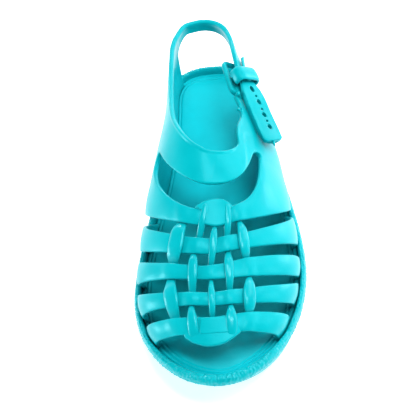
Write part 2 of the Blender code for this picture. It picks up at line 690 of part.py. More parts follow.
def rounded_rectangle(x0, x1, y0, y1, radius, steps=4):
    pts = []
    for cx, cy, start in ((x1 - radius, y1 - radius, 0), (x0 + radius, y1 - radius, 90),
                          (x0 + radius, y0 + radius, 180), (x1 - radius, y0 + radius, 270)):
        for k in range(steps + 1):
            a = math.radians(start + 90 * k / steps)
            pts.append((cx + radius * math.cos(a), cy + radius * math.sin(a)))
    return pts


def build_ring(name, path, bar_a, bar_b, lift, material):
    """Closed bar of chamfered section along a flat loop."""
    path = np.asarray(path, float)
    d = np.roll(path, -1, 0) - np.roll(path, 1, 0)
    d /= np.linalg.norm(d, axis=1, keepdims=True)
    normal = np.stack([d[:, 1], -d[:, 0]], 1)
    ca, cb = bar_a / 2, bar_b / 2
    f = 0.6
    section = [(-ca, -cb * f), (-ca * f, -cb), (ca * f, -cb), (ca, -cb * f),
               (ca, cb * f), (ca * f, cb), (-ca * f, cb), (-ca, cb * f)]
    rings = []
    for a, b in section:
        flat = path + normal * a
        rings.append(np.column_stack([flat, np.full(len(flat), lift + b)]))
    local = np.stack(rings, 1)
    count, rows = len(section), len(path)
    faces = []
    for r in range(rows):
        for k in range(count):
            a, b = r * count + k, r * count + (k + 1) % count
            c, e = ((r + 1) % rows) * count + (k + 1) % count, ((r + 1) % rows) * count + k
            faces.append((a, b, c, e))
    return make_object(name, in_buckle(local.reshape(-1, 3)), faces, material)


def build_keeper(material):
    """Bridge over the strap, standing on both side bars of the frame."""
    a0, a1 = KEEPER_ACROSS
    z0, z1 = KEEPER_UP
    w, r = KEEPER_WALL, 3.0
    outer = [(a0, z0)]
    inner = [(a0 + w, z0)]
    for centre, start in (((a0 + r, z1 - r), 180), ((a1 - r, z1 - r), 90)):
        for k in range(5):
            a = math.radians(start - 90 * k / 4)
            outer.append((centre[0] + r * math.cos(a), centre[1] + r * math.sin(a)))
            inner.append((centre[0] + (r - w) * math.cos(a), centre[1] + (r - w) * math.sin(a)))
    outer.append((a1, z0))
    inner.append((a1 - w, z0))
    loop = outer + inner[::-1]
    h = KEEPER_HALF_WIDTH
    rows = []
    for along, shrink in ((-h, 0.35), (-h + 0.5, 0.0), (h - 0.5, 0.0), (h, 0.35)):
        mid = [((o[0] + i[0]) / 2, (o[1] + i[1]) / 2) for o, i in zip(outer, inner)]
        mid = mid + mid[::-1]
        rows.append([(along, p[0] + (m[0] - p[0]) * shrink, p[1] + (m[1] - p[1]) * shrink)
                     for p, m in zip(loop, mid)])
    count = len(loop)
    half = len(outer)
    faces = tube_faces(len(rows), count, close_ends=False)
    last_row = (len(rows) - 1) * count
    for k in range(half - 1):
        faces.append((k + 1, k, count - 1 - k, count - 2 - k))
        faces.append((last_row + k, last_row + k + 1, last_row + count - 2 - k, last_row + count - 1 - k))
    return make_object("keeper", in_buckle(np.array(rows).reshape(-1, 3)), faces, material)


def build_prong(material):
    """Tapered tongue that lies on the strap and rises at its tip."""
    c0, along, across, out = buckle_axes()
    n = 9
    rows = []
    for k in range(n):
        t = k / (n - 1)
        d = PRONG_ALONG[0] + (PRONG_ALONG[1] - PRONG_ALONG[0]) * t
        y = (c0 + along * d)[1]
        c, w, o, half = sling_at(sling_place(y))
        wide = 1.7 - 1.1 * t ** 1.5
        lift = GAP + 0.15 + 0.9 * t ** 3
        high = PRONG_THICK * (1 - 0.45 * t)
        for a, b in ((-1, 0), (1, 0), (1, 0.55), (0.45, 1), (-0.45, 1), (-1, 0.55)):
            rows.append(c + w * (a * wide) + o * (lift + b * high))
    return make_object("buckle_prong", np.array(rows), tube_faces(n, 6), material)


def main():
    for obj in list(bpy.data.objects):
        bpy.data.objects.remove(obj, do_unlink=True)
    build_sole(pvc("sole_pvc", COLOUR, 0.45))
    build_insole(pvc("insole_pvc", COLOUR, 0.5))
    build_upper(pvc("upper_pvc", COLOUR, 0.38))
    turn = math.radians(FRAME_TURN)
    frame = [(a * math.cos(turn) - b * math.sin(turn), a * math.sin(turn) + b * math.cos(turn))
             for a, b in rounded_rectangle(*FRAME_ALONG, *FRAME_ACROSS, 2.6)]
    build_ring("buckle_frame", frame, FRAME_BAR, FRAME_BAR, FRAME_UP, pvc("frame_pvc", COLOUR, 0.36))
    build_keeper(pvc("keeper_pvc", COLOUR, 0.36))
    build_prong(pvc("prong_pvc", COLOUR, 0.36))


main()
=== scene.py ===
"""Looks of a moulded fisherman sandal for the left foot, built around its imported
CAD frame: soft rounded cage upper with woven strips, pebbled rim, foot bed with
its two border lines, fastened buckle, one turquoise PVC with several finishes.

Design axes, in millimetres: x to the outer side of the foot, y from the toe tip
back to the heel, z up from the floor; place() turns them into the row frame."""

import json
import math

import bpy
import numpy as np
from mathutils import Matrix, Vector

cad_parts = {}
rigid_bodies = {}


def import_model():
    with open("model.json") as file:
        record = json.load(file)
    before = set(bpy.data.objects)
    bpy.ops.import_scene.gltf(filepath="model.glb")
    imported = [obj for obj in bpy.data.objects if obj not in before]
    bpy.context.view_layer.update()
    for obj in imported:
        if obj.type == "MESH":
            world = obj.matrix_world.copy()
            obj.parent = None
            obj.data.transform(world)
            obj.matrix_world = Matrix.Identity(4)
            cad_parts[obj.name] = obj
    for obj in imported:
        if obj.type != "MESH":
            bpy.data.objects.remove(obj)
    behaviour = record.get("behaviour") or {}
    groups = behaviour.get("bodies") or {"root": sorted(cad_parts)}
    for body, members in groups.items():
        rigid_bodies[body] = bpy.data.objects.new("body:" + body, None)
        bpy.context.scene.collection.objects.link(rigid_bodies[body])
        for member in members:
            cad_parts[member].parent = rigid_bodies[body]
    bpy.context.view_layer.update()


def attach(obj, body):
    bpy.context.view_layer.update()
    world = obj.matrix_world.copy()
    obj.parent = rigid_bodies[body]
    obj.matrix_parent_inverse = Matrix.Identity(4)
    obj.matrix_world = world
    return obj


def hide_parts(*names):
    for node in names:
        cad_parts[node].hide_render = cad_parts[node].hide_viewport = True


for old in list(bpy.data.objects):
    bpy.data.objects.remove(old, do_unlink=True)
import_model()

# ---------------------------------------------------------------- dimensions
LENGTH = 245.0            # sole, toe tip to heel
BALL_INNER = -48.8        # widest x of the inner side, at BALL_INNER_Y
BALL_INNER_Y = 66.6
BALL_OUTER = 49.1
BALL_OUTER_Y = 80.4
TOE_X, TOE_POWER = 0.2, 1.88
WAIST_INNER, WAIST_INNER_Y = -36.5, 158.0
WAIST_OUTER, WAIST_OUTER_Y = 39.3, 150.0
HEEL_X, HEEL_HALF, HEEL_DEPTH, HEEL_POWER = -3.0, 29.5, 30.0, 2.5

RIM_BALL_Z, RIM_TOE_RISE, RIM_HEEL_RISE = 15.0, 11.9, 11.8
RIM_WIDTH = 3.2           # width of the raised rim round the tray
RIM_TOE_EXTRA, RIM_TOE_FROM = 2.2, 30.0   # the rim broadens towards the toe tip
RIM_HEIGHT = 3.0          # rim above the insole
LIP_HEIGHT = 5.2          # outer lip under the rim
INSOLE_THICK = 2.2
GAP = 0.3                 # clearance between neighbouring pieces
TOE_SPRING = 19.0         # height of the underside at the toe tip
TOE_SPRING_LENGTH = 52.0
ARCH_HEIGHT, ARCH_FROM, ARCH_TO = 4.0, 116.0, 178.0
HEEL_BEVEL, HEEL_BEVEL_FROM = 3.0, 236.0
GROOVE_DEPTH, GROOVE_WIDTH = 1.6, 3.0
GROOVES_Y = (57, 68, 79, 90, 101, 112, 186, 197, 208, 219, 230)   # between the lugs

WALL = 2.8                # wall of the upper
BASE_INSET = 3.9          # foot of the upper, inside the sole outline
STRIP_THICK = 2.0         # woven lengthwise strips
STRIP_SINK = 0.5          # how far a strip melts into a strap it crosses
STRIP_END, STRIP_END_DROP = 4.0, 1.2   # an end that lies on a strap slopes into it

INNER_CELLS, MIDDLE_CELLS, OUTER_CELLS = 8, 20, 8

COLOUR = (0.006, 0.55, 0.62, 1.0)

# ------------------------------------------------------------------- tables
# sections of the last, toe to heel: height and x of the ridge, how fast the
# inner and outer sides fall away from it, and how far they belly out
LAST_COLUMNS = ("y", "ridge_z", "ridge_x", "fall_in", "fall_out",
                "belly_in", "belly_out")
LAST = (
    (0,   30.0,  0.0, 1.00, 1.00, 1.0, 1.0),
    (17,  36.0, -1.0, 1.00, 1.00, 3.0, 3.0),
    (35,  41.5, -1.5, 1.00, 1.00, 5.0, 5.0),
    (55,  46.5, -2.0, 1.00, 1.00, 6.5, 6.0),
    (75,  52.0, -2.0, 1.00, 1.00, 6.5, 6.0),
    (95,  59.0, -2.0, 1.00, 1.00, 7.0, 6.0),
    (110, 65.0, -3.0, 1.00, 1.05, 7.5, 6.5),
    (125, 70.5, -4.0, 0.95, 1.30, 7.5, 9.0),
    (145, 77.0, -5.0, 0.90, 1.90, 6.0, 14.0),
    (170, 82.0, -5.0, 0.80, 2.30, 2.5, 14.5),
    (200, 84.0, -5.0, 0.68, 2.60, 3.0, 12.0),
    (245, 84.0, -5.0, 0.65, 2.60, 2.0, 5.0),
)

# edges of the five cross straps: y on the ridge, y and power of the curve at
# the inner end and at the outer end, and the depth of the middle tab
EDGE_COLUMNS = ("name", "mid", "inner", "inner_pow", "outer", "outer_pow", "tab")
STRAP_EDGES = (
    ("s5_front", 21.9,  28.5, 1.20,  28.5, 1.20, -5.7),
    ("s5_rear",  30.7,  40.3, 1.15,  43.0, 1.15,  0.0),
    ("s4_front", 36.2,  47.4, 1.20,  51.8, 1.70,  0.0),
    ("s4_rear",  44.2,  65.5, 1.60,  67.8, 1.70,  0.0),
    ("s3_front", 50.4,  71.4, 1.40,  71.0, 1.70,  0.0),
    ("s3_rear",  58.5,  89.5, 1.50,  83.8, 1.25,  0.0),
    ("s2_front", 64.6,  97.6, 1.60,  93.6, 1.50,  0.0),
    ("s2_rear",  73.8, 118.3, 1.60, 117.0, 1.75,  0.0),
    ("s1_front", 80.4, 126.4, 1.60, 121.5, 1.75,  0.0),
)
# middle and half width of the front and the rear tab, as shares of the arch
TAB_FRONT, TAB_REAR = (-0.017, 0.33), (0.038, 0.16)
STRAP_SIDE = 0.5          # where the side columns of the straps begin

# lines behind the straps. "u" runs from -1 at the inner foot line over 0 on
# the ridge to 1 at the outer foot line. Each line has a middle part from
# (u_in, y_in) over y_mid to (u_out, y_out), and two side parts down to the
# foot lines at foot_in and foot_out; bend is the power of the outer side part
LINE_COLUMNS = ("name", "u_in", "y_in", "pow_in", "y_mid", "u_mid",
                "pow_out", "u_out", "y_out", "foot_in", "foot_out", "bend", "tab")
LINES = (
    ("window_front", -0.540, 120.5, 2.1,  90.2, 0.00, 2.9, 0.545, 128.8, 133.0, 131.0, 1.0, 5.0),
    ("window_1",     -0.585, 127.0, 2.0,  94.0, 0.02, 2.9, 0.560, 131.2, 138.0, 136.0, 0.85, 0.0),
    ("window_2",     -0.600, 132.0, 2.0,  97.0, 0.02, 2.8, 0.562, 133.0, 142.5, 141.0, 0.75, 0.0),
    ("window_3",     -0.580, 136.4, 1.9, 100.0, 0.03, 2.6, 0.542, 133.6, 146.5, 145.5, 0.65, 0.0),
    ("band_front",   -0.540, 139.2, 1.9, 103.1, 0.04, 2.3, 0.510, 131.7, 150.5, 149.0, 0.62, 0.0),
    ("band_1",       -0.475, 143.4, 2.0, 109.5, 0.07, 2.3, 0.478, 132.4, 154.5, 152.0, 0.65, 0.0),
    ("band_2",       -0.405, 147.4, 2.0, 116.0, 0.10, 2.2, 0.447, 133.0, 158.5, 154.5, 0.7, 0.0),
    ("band_rear",    -0.336, 151.2, 2.0, 122.5, 0.12, 2.2, 0.415, 133.4, 162.5, 157.0, 0.75, 0.0),
)
# both quarters behind the band: y and z of the top line, y of the foot line
QUARTER_COLUMNS = ("y_top_in", "z_top_in", "foot_in",
                   "y_top_out", "z_top_out", "foot_out", "bend")
QUARTERS = (
    (166.0, 68.2, 173.0, 140.5, 61.6, 162.0, 1.0),
    (179.0, 66.4, 184.0, 149.0, 61.3, 169.5, 1.2),
    (192.0, 65.6, 196.0, 158.0, 59.3, 178.5, 1.4),
    (205.0, 65.6, 208.0, 166.5, 59.2, 189.0, 1.6),
    (216.5, 66.0, 218.5, 172.5, 60.6, 200.5, 1.8),
    (226.0, 66.6, 228.0, 176.2, 61.6, 213.0, 1.9),
)
REAR_EDGE = (229.6, 66.8, 233.0)   # inner quarter: last line before the sling

# sling strap from the inner quarter round the heel, through the buckle to its
# tail: middle of its outer face, tilt of its width from upright, half width
SLING_COLUMNS = ("x", "y", "z", "tilt", "half")
SLING = (
    (-21.6, 233.2, 62.2,  4.0, 4.7),
    (-19.4, 237.4, 62.5,  3.0, 4.6),
    (-15.4, 241.2, 62.8,  1.5, 4.4),
    (-5.8,  244.6, 63.0,  0.0, 4.3),
    (3.2,   242.4, 63.0,  0.0, 4.3),
    (10.2,  235.6, 63.0,  3.0, 4.4),
    (14.6,  224.0, 63.2,  8.0, 4.6),
    (17.0,  211.0, 63.4, 15.0, 5.0),
    (19.7,  199.0, 63.1, 34.0, 5.1),
    (22.6,  188.5, 61.4, 54.0, 5.1),
    (25.8,  177.5, 58.0, 63.0, 5.2),
    (29.1,  166.0, 54.8, 68.0, 5.3),
    (32.4,  155.0, 52.9, 71.0, 5.4),
    (35.5,  145.0, 52.0, 73.0, 5.4),
)

# woven strips: u at the straps s1 to s5, half width over and between straps,
# and which straps the strip passes over
STRIP_COLUMNS = ("name", "u1", "u2", "u3", "u4", "u5", "half_over", "half_gap", "over")
STRIPS = (
    ("strip_1", -0.200, -0.275, -0.312, -0.340, -0.385, 3.4, 2.3, (2, 4)),
    ("strip_2", -0.043, -0.098, -0.148, -0.172, -0.222, 2.7, 2.1, (1, 3, 5)),
    ("strip_3",  0.036,  0.026,  0.004, -0.007, -0.015, 2.3, 1.9, (2, 4)),
    ("strip_4",  0.140,  0.130,  0.142,  0.154,  0.170, 2.8, 2.1, (1, 3, 5)),
    ("strip_5",  0.213,  0.245,  0.270,  0.292,  0.308, 3.0, 2.2, (2, 4)),
)

# buckle, in the strap's own axes at the keeper: along (towards the tail),
# across (down and outwards) and up (away from the foot)
BUCKLE_Y = 190.5
FRAME_ALONG = (-13.4, 9.5)
FRAME_ACROSS = (-8.0, 6.6)
FRAME_TURN = -5.0         # degrees in its own plane
FRAME_UP = -7.3
FRAME_BAR = 2.6
KEEPER_HALF_WIDTH = 4.6   # along the strap
KEEPER_ACROSS = (-9.6, 8.7)
KEEPER_UP = (-5.2, 4.7)   # foot and top of the keeper
KEEPER_WALL = 2.2
PRONG_ALONG = (4.0, -13.5)
PRONG_THICK = 1.5


# ------------------------------------------------------------- small helpers
def column(table, names, name):
    return np.array([row[names.index(name)] for row in table], float)


def smooth(xs, ys, x):
    """Cubic through the points of a table, with averaged slopes."""
    xs, ys, x = np.asarray(xs, float), np.asarray(ys, float), np.asarray(x, float)
    h = np.diff(xs)
    d = np.diff(ys) / h
    m = np.empty_like(ys)
    m[1:-1] = (d[:-1] * h[1:] + d[1:] * h[:-1]) / (h[:-1] + h[1:])
    m[0], m[-1] = d[0], d[-1]
    i = np.clip(np.searchsorted(xs, x) - 1, 0, len(xs) - 2)
    t = (x - xs[i]) / h[i]
    t2, t3 = t * t, t * t * t
    return ((2 * t3 - 3 * t2 + 1) * ys[i] + (t3 - 2 * t2 + t) * h[i] * m[i]
            + (3 * t2 - 2 * t3) * ys[i + 1] + (t3 - t2) * h[i] * m[i + 1])


def hermite(y0, x0, m0, y1, x1, m1, y):
    h = y1 - y0
    t = (y - y0) / h
    t2, t3 = t * t, t * t * t
    return ((2 * t3 - 3 * t2 + 1) * x0 + (t3 - 2 * t2 + t) * h * m0
            + (3 * t2 - 2 * t3) * x1 + (t3 - t2) * h * m1)


# ------------------------------------------------------------------- outline
def outline_side(t, outer):
    """One side of the sole outline, t from 0 at the toe tip to 1 at the heel."""
    t = np.asarray(t, float)
    ball, ball_y = (BALL_OUTER, BALL_OUTER_Y) if outer else (BALL_INNER, BALL_INNER_Y)
    waist, waist_y = (WAIST_OUTER, WAIST_OUTER_Y) if outer else (WAIST_INNER, WAIST_INNER_Y)
    heel = HEEL_X + (HEEL_HALF if outer else -HEEL_HALF)
    heel_y = LENGTH - HEEL_DEPTH
    toe_end, heel_start = 0.36, 0.78
    x, y = np.empty_like(t), np.empty_like(t)
    k = t <= toe_end
    a = t[k] / toe_end * math.pi / 2
    x[k] = TOE_X + (ball - TOE_X) * np.sin(a) ** (2 / TOE_POWER)
    y[k] = ball_y * (1 - np.cos(a) ** (2 / TOE_POWER))
    k = (t > toe_end) & (t <= heel_start)
    yy = ball_y + (heel_y - ball_y) * (t[k] - toe_end) / (heel_start - toe_end)
    slope = (heel - ball) / (heel_y - ball_y) * 1.15
    x[k] = np.where(yy < waist_y,
                    hermite(ball_y, ball, 0, waist_y, waist, slope, yy),
                    hermite(waist_y, waist, slope, heel_y, heel, 0, yy))
    y[k] = yy
    k = t > heel_start
    a = (t[k] - heel_start) / (1 - heel_start) * math.pi / 2
    x[k] = HEEL_X + (heel - HEEL_X) * np.cos(a) ** (2 / HEEL_POWER)
    y[k] = heel_y + HEEL_DEPTH * np.sin(a) ** (2 / HEEL_POWER)
    return x, y


def outline(n, inset=0.0):
    """Closed loop of 2n points: inner side toe to heel, outer side back."""
    t = np.linspace(0, 1, n + 1)
    xi, yi = outline_side(t, False)
    xo, yo = outline_side(t, True)
    loop = np.concatenate([np.stack([xi, yi], 1), np.stack([xo, yo], 1)[::-1][1:-1]])
    d = np.roll(loop, -1, 0) - np.roll(loop, 1, 0)
    d /= np.linalg.norm(d, axis=1, keepdims=True)
    inset = np.broadcast_to(inset, len(loop))[:, None]
    return loop + np.stack([d[:, 1], -d[:, 0]], 1) * inset


_foot_lines = {}


def foot_line_x(y, outer):
    """x of the line where the upper stands, from y."""
    if outer not in _foot_lines:
        n = 400
        loop = outline(n, BASE_INSET)
        half = np.concatenate([loop[:1], loop[n:][::-1]]) if outer else loop[:n + 1]
        _foot_lines[outer] = half[np.argsort(half[:, 1], kind="stable")]
    half = _foot_lines[outer]
    return np.interp(y, half[:, 1], half[:, 0])


def rim_z(y):
    y = np.asarray(y, float)
    return (RIM_BALL_Z + RIM_TOE_RISE * np.clip((70 - y) / 70, 0, 1) ** 2
            + RIM_HEEL_RISE * np.clip((y - 90) / (LENGTH - 90), 0, 1) ** 1.5)


def rim_width(y):
    return RIM_WIDTH + RIM_TOE_EXTRA * np.clip(1 - y / RIM_TOE_FROM, 0, 1) ** 0.7


def underside_z(y):
    y = np.asarray(y, float)
    toe = TOE_SPRING * np.clip((TOE_SPRING_LENGTH - y) / TOE_SPRING_LENGTH, 0, 1) ** 2.2
    a = np.clip((y - ARCH_FROM) / (ARCH_TO - ARCH_FROM), 0, 1)
    arch = ARCH_HEIGHT * np.sin(math.pi * a) ** 2
    heel = HEEL_BEVEL * np.clip((y - HEEL_BEVEL_FROM) / (LENGTH - HEEL_BEVEL_FROM), 0, 1) ** 2
    return toe + arch + heel


# ---------------------------------------------------------------------- last
def last(y, u):
    """Outer face of the upper at section y, u across the arch."""
    y, u = np.broadcast_arrays(np.asarray(y, float), np.asarray(u, float))
    ys = column(LAST, LAST_COLUMNS, "y")
    ridge_z, ridge_x, fall_in, fall_out, belly_in, belly_out = (
        smooth(ys, column(LAST, LAST_COLUMNS, name), y) for name in LAST_COLUMNS[1:])
    foot_z = rim_z(y) - RIM_HEIGHT + GAP
    height = ridge_z - foot_z
    a = (1 - np.abs(u)) * math.pi / 2
    c, s = np.clip(np.cos(a), 1e-9, None), np.sin(a)
    free = np.clip((s * height - RIM_HEIGHT) / (height - RIM_HEIGHT), 0, 1)
    b = np.arcsin(free)
    inner = u < 0
    foot_x = np.where(inner, foot_line_x(y, False), foot_line_x(y, True))
    fall = np.where(inner, fall_in, fall_out)
    belly = np.where(inner, -belly_in * np.sin(2 * b) * np.cos(b) ** 3,
                     belly_out * np.sin(2 * b) * np.cos(b) ** 5)
    return np.stack([ridge_x + (foot_x - ridge_x) * c ** fall + belly, y,
                     foot_z + height * s], -1)


def last_normal(y, u):
    y, u = np.broadcast_arrays(np.asarray(y, float), np.asarray(u, float))
    u = np.clip(u, -0.995, 0.995)
    du = last(y, u + 0.004) - last(y, u - 0.004)
    dy = last(y + 0.6, u) - last(y - 0.6, u)
    n = np.cross(du, dy)
    return n / np.linalg.norm(n, axis=-1, keepdims=True)


def u_at_height(y, z, outer):
    """u where section y of the last reaches height z."""
    foot_z = rim_z(y) - RIM_HEIGHT + GAP
    ridge = smooth(column(LAST, LAST_COLUMNS, "y"),
                   column(LAST, LAST_COLUMNS, "ridge_z"), y)
    u = 1 - math.asin((z - foot_z) / (ridge - foot_z)) / (math.pi / 2)
    return u if outer else -u


def tab_shape(u, depth):
    mid, half = TAB_REAR if depth > 0 else TAB_FRONT
    return depth * np.clip(1 - ((u - mid) / half) ** 2, 0, None)


def strap_edge(row, u):
    e = dict(zip(EDGE_COLUMNS, row))
    a = np.abs(u)
    y = np.where(u < 0,
                 e["mid"] + (e["inner"] - e["mid"]) * a ** e["inner_pow"],
                 e["mid"] + (e["outer"] - e["mid"]) * a ** e["outer_pow"])
    return y + tab_shape(u, e["tab"])


def spread(u_in, u_out, cells):
    """u of every column, given where the side columns begin."""
    n_in, n_mid, n_out = cells
    return np.concatenate([np.linspace(-1, u_in, n_in + 1)[:-1],
                           np.linspace(u_in, u_out, n_mid + 1),
                           np.linspace(u_out, 1, n_out + 1)[1:]])


def line_points(row, cells):
    """u and y along one line behind the straps."""
    e = dict(zip(LINE_COLUMNS, row))
    u = spread(e["u_in"], e["u_out"], cells)
    y = np.empty_like(u)
    mid_in = (u < e["u_mid"]) & (u >= e["u_in"] - 1e-9)
    mid_out = (u >= e["u_mid"]) & (u <= e["u_out"] + 1e-9)
    y[mid_in] = e["y_mid"] + (e["y_in"] - e["y_mid"]) * (
        (e["u_mid"] - u[mid_in]) / (e["u_mid"] - e["u_in"])) ** e["pow_in"]
    y[mid_out] = e["y_mid"] + (e["y_out"] - e["y_mid"]) * (
        (u[mid_out] - e["u_mid"]) / (e["u_out"] - e["u_mid"])) ** e["pow_out"]
    k = u < e["u_in"] - 1e-9
    y[k] = e["y_in"] + (e["foot_in"] - e["y_in"]) * (e["u_in"] - u[k]) / (e["u_in"] + 1)
    k = u > e["u_out"] + 1e-9
    y[k] = e["y_out"] + (e["foot_out"] - e["y_out"]) * (
        (u[k] - e["u_out"]) / (1 - e["u_out"])) ** e["bend"]
    return u, y + tab_shape(u, e["tab"])


def quarter_points(row, cells):
    e = dict(zip(QUARTER_COLUMNS, row))
    u_in = u_at_height(e["y_top_in"], e["z_top_in"], False)
    u_out = u_at_height(e["y_top_out"], e["z_top_out"], True)
    u = spread(u_in, u_out, cells)
    y = np.interp(u, [u_in, u_out], [e["y_top_in"], e["y_top_out"]])
    k = u < u_in
    y[k] = e["y_top_in"] + (e["foot_in"] - e["y_top_in"]) * (u_in - u[k]) / (u_in + 1)
    k = u > u_out
    y[k] = e["y_top_out"] + (e["foot_out"] - e["y_top_out"]) * (
        (u[k] - u_out) / (1 - u_out)) ** e["bend"]
    return u, y


# --------------------------------------------------------------------- sling
def sling_at(s):
    """Middle, across (downwards) and outward directions of the sling at s,
    counted in rows of its table, with its half width."""
    n = np.arange(len(SLING))
    c = np.stack([smooth(n, column(SLING, SLING_COLUMNS, k), s) for k in "xyz"], -1)
    ahead = np.stack([smooth(n, column(SLING, SLING_COLUMNS, k), np.asarray(s) + 0.02)
                      for k in "xyz"], -1)
    along = ahead - c
    along /= np.linalg.norm(along, axis=-1, keepdims=True)
    tilt = np.radians(smooth(n, column(SLING, SLING_COLUMNS, "tilt"), s))
    flat = np.stack([along[..., 0], along[..., 1], 0 * tilt], -1)
    flat /= np.linalg.norm(flat, axis=-1, keepdims=True)
    side = np.stack([-flat[..., 1], flat[..., 0], 0 * tilt], -1)   # away from the foot
    across = side * np.sin(tilt)[..., None] + np.array([0, 0, -1.0]) * np.cos(tilt)[..., None]
    across -= along * np.sum(across * along, -1, keepdims=True)
    across /= np.linalg.norm(across, axis=-1, keepdims=True)
    out = np.cross(along, across)
    half = smooth(n, column(SLING, SLING_COLUMNS, "half"), s)
    return c, across, out, half


def sling_place(y):
    """Place along the sling, on the outer side, where it passes y."""
    s = np.linspace(3, len(SLING) - 1, 2001)
    ys = smooth(np.arange(len(SLING)), column(SLING, SLING_COLUMNS, "y"), s)
    return s[np.argmin(np.abs(ys - y))]


# ------------------------------------------------------------ finer constants
CELLS = (40, 64, 40)      # columns of the net: inner side, middle, outer side
STRAP_ROWS = 7
LINE_STEPS = 6            # rows between two lines behind the straps
SLING_STEP = 1.2
TAIL_WIDER, TAIL_LONGER = 1.5, 3.0
TAIL_RIDGE, TAIL_THICKER = 0.4, 0.8   # raised border of the tail, extra thickness
NECK = 0.6                # the lower edge of the sling rises behind the quarter
TAIL_LIFT = 1.0           # the tail stands off the quarter
ARCH = 1.5                # the sling turns in a round arch at its inner corner
TAIL_ROUND = 2.4          # rounded corners at the end of the tail
BULGE = 0.9               # how far the rounded edge stands out of the flat part
OPEN_BULGE, OPEN_LIP = 2.3, 0.95   # the border of the foot opening is rolled
EDGE_POINTS = 10
BOUNDARY_PASSES = 4
CROWN = 0.45              # the straps are slightly domed
PRESS, RISE = -0.35, 0.75  # a strap sinks under a strip and swells over one
RIBBON_THICK, RIBBON_SINK = 2.5, 0.55

# holes of the tail: y, place across the strap, half length, half width
HOLE_COLUMNS = ("y", "level", "half_long", "half_wide")
HOLES = (
    (181.0, 0.05, 2.3, 1.25),
    (175.6, 0.15, 0.75, 0.6),
    (171.4, 0.20, 1.7, 1.1),
    (166.2, 0.20, 0.75, 0.6),
    (162.0, 0.20, 1.7, 1.1),
    (157.4, 0.20, 0.75, 0.6),
    (152.8, 0.20, 1.7, 1.1),
)


def place(points):
    """Design millimetres to metres, centred over the floor."""
    p = np.asarray(points, float).copy()
    p[..., 0] -= (BALL_INNER + BALL_OUTER) / 2
    p[..., 1] -= LENGTH / 2
    return p / 1000.0


def unit(v):
    return v / np.maximum(np.linalg.norm(v, axis=-1, keepdims=True), 1e-12)


def facing_out(points, faces):
    """The faces, turned over if the closed mesh they make is inside out."""
    volume = 0.0
    for f in faces:
        a = points[f[0]]
        for k in range(1, len(f) - 1):
            volume += np.dot(a, np.cross(points[f[k]], points[f[k + 1]]))
    return faces if volume > 0 else [tuple(f)[::-1] for f in faces]


def make_piece(name, points, faces, material, node=None):
    """Mesh object riding on the part, standing for a CAD node if one is named."""
    points = np.asarray(points, float)
    faces = facing_out(points - points.mean(0), faces)
    used = np.zeros(len(points), bool)
    for f in faces:
        used[list(f)] = True
    index = np.cumsum(used) - 1
    mesh = bpy.data.meshes.new(name)
    mesh.from_pydata(place(points[used]).tolist(), [],
                     [[int(index[v]) for v in f] for f in faces])
    mesh.materials.append(material)
    mesh.validate()
    mesh.shade_smooth()
    obj = bpy.data.objects.new(name, mesh)
    bpy.context.scene.collection.objects.link(obj)
    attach(obj, "root")
    if node:
        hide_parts(node)
    return obj


def tube_faces(rings, count, close_ends=True):
    faces = []
    for r in range(rings - 1):
        for k in range(count):
            a, b = r * count + k, r * count + (k + 1) % count
            faces.append((a, b, b + count, a + count))
    if close_ends:
        faces.append(tuple(range(count - 1, -1, -1)))
        faces.append(tuple((rings - 1) * count + k for k in range(count)))
    return faces


def rounded_section(count, power):
    """Points of a rounded box from -1 to 1 both ways."""
    a = np.linspace(0, 2 * math.pi, count, endpoint=False) + math.pi / count
    c, s = np.cos(a), np.sin(a)
    return np.stack([np.sign(c) * np.abs(c) ** (2 / power),
                     np.sign(s) * np.abs(s) ** (2 / power)], 1)


def smooth_rows(rows, t, corner):
    """Cubic from row to row of a table of lines, with a break at one of them."""
    rows = np.asarray(rows, float)
    step = np.diff(rows, axis=0)
    m = np.concatenate([step[:1], (step[1:] + step[:-1]) / 2, step[-1:]])
    leave, arrive = m.copy(), m.copy()
    leave[corner], arrive[corner] = step[corner], step[corner - 1]
    i = np.clip(np.ceil(t).astype(int) - 1, 0, len(rows) - 2)
    f = (t - i)[:, None]
    f2, f3 = f * f, f * f * f
    return ((2 * f3 - 3 * f2 + 1) * rows[i] + (f3 - 2 * f2 + f) * leave[i]
            + (3 * f2 - 2 * f3) * rows[i + 1] + (f3 - f2) * arrive[i + 1])


def ramp(x, width):
    """0 to 1 over +-width, smoothly."""
    t = np.clip(x / (2 * width) + 0.5, 0, 1)
    return t * t * (3 - 2 * t)


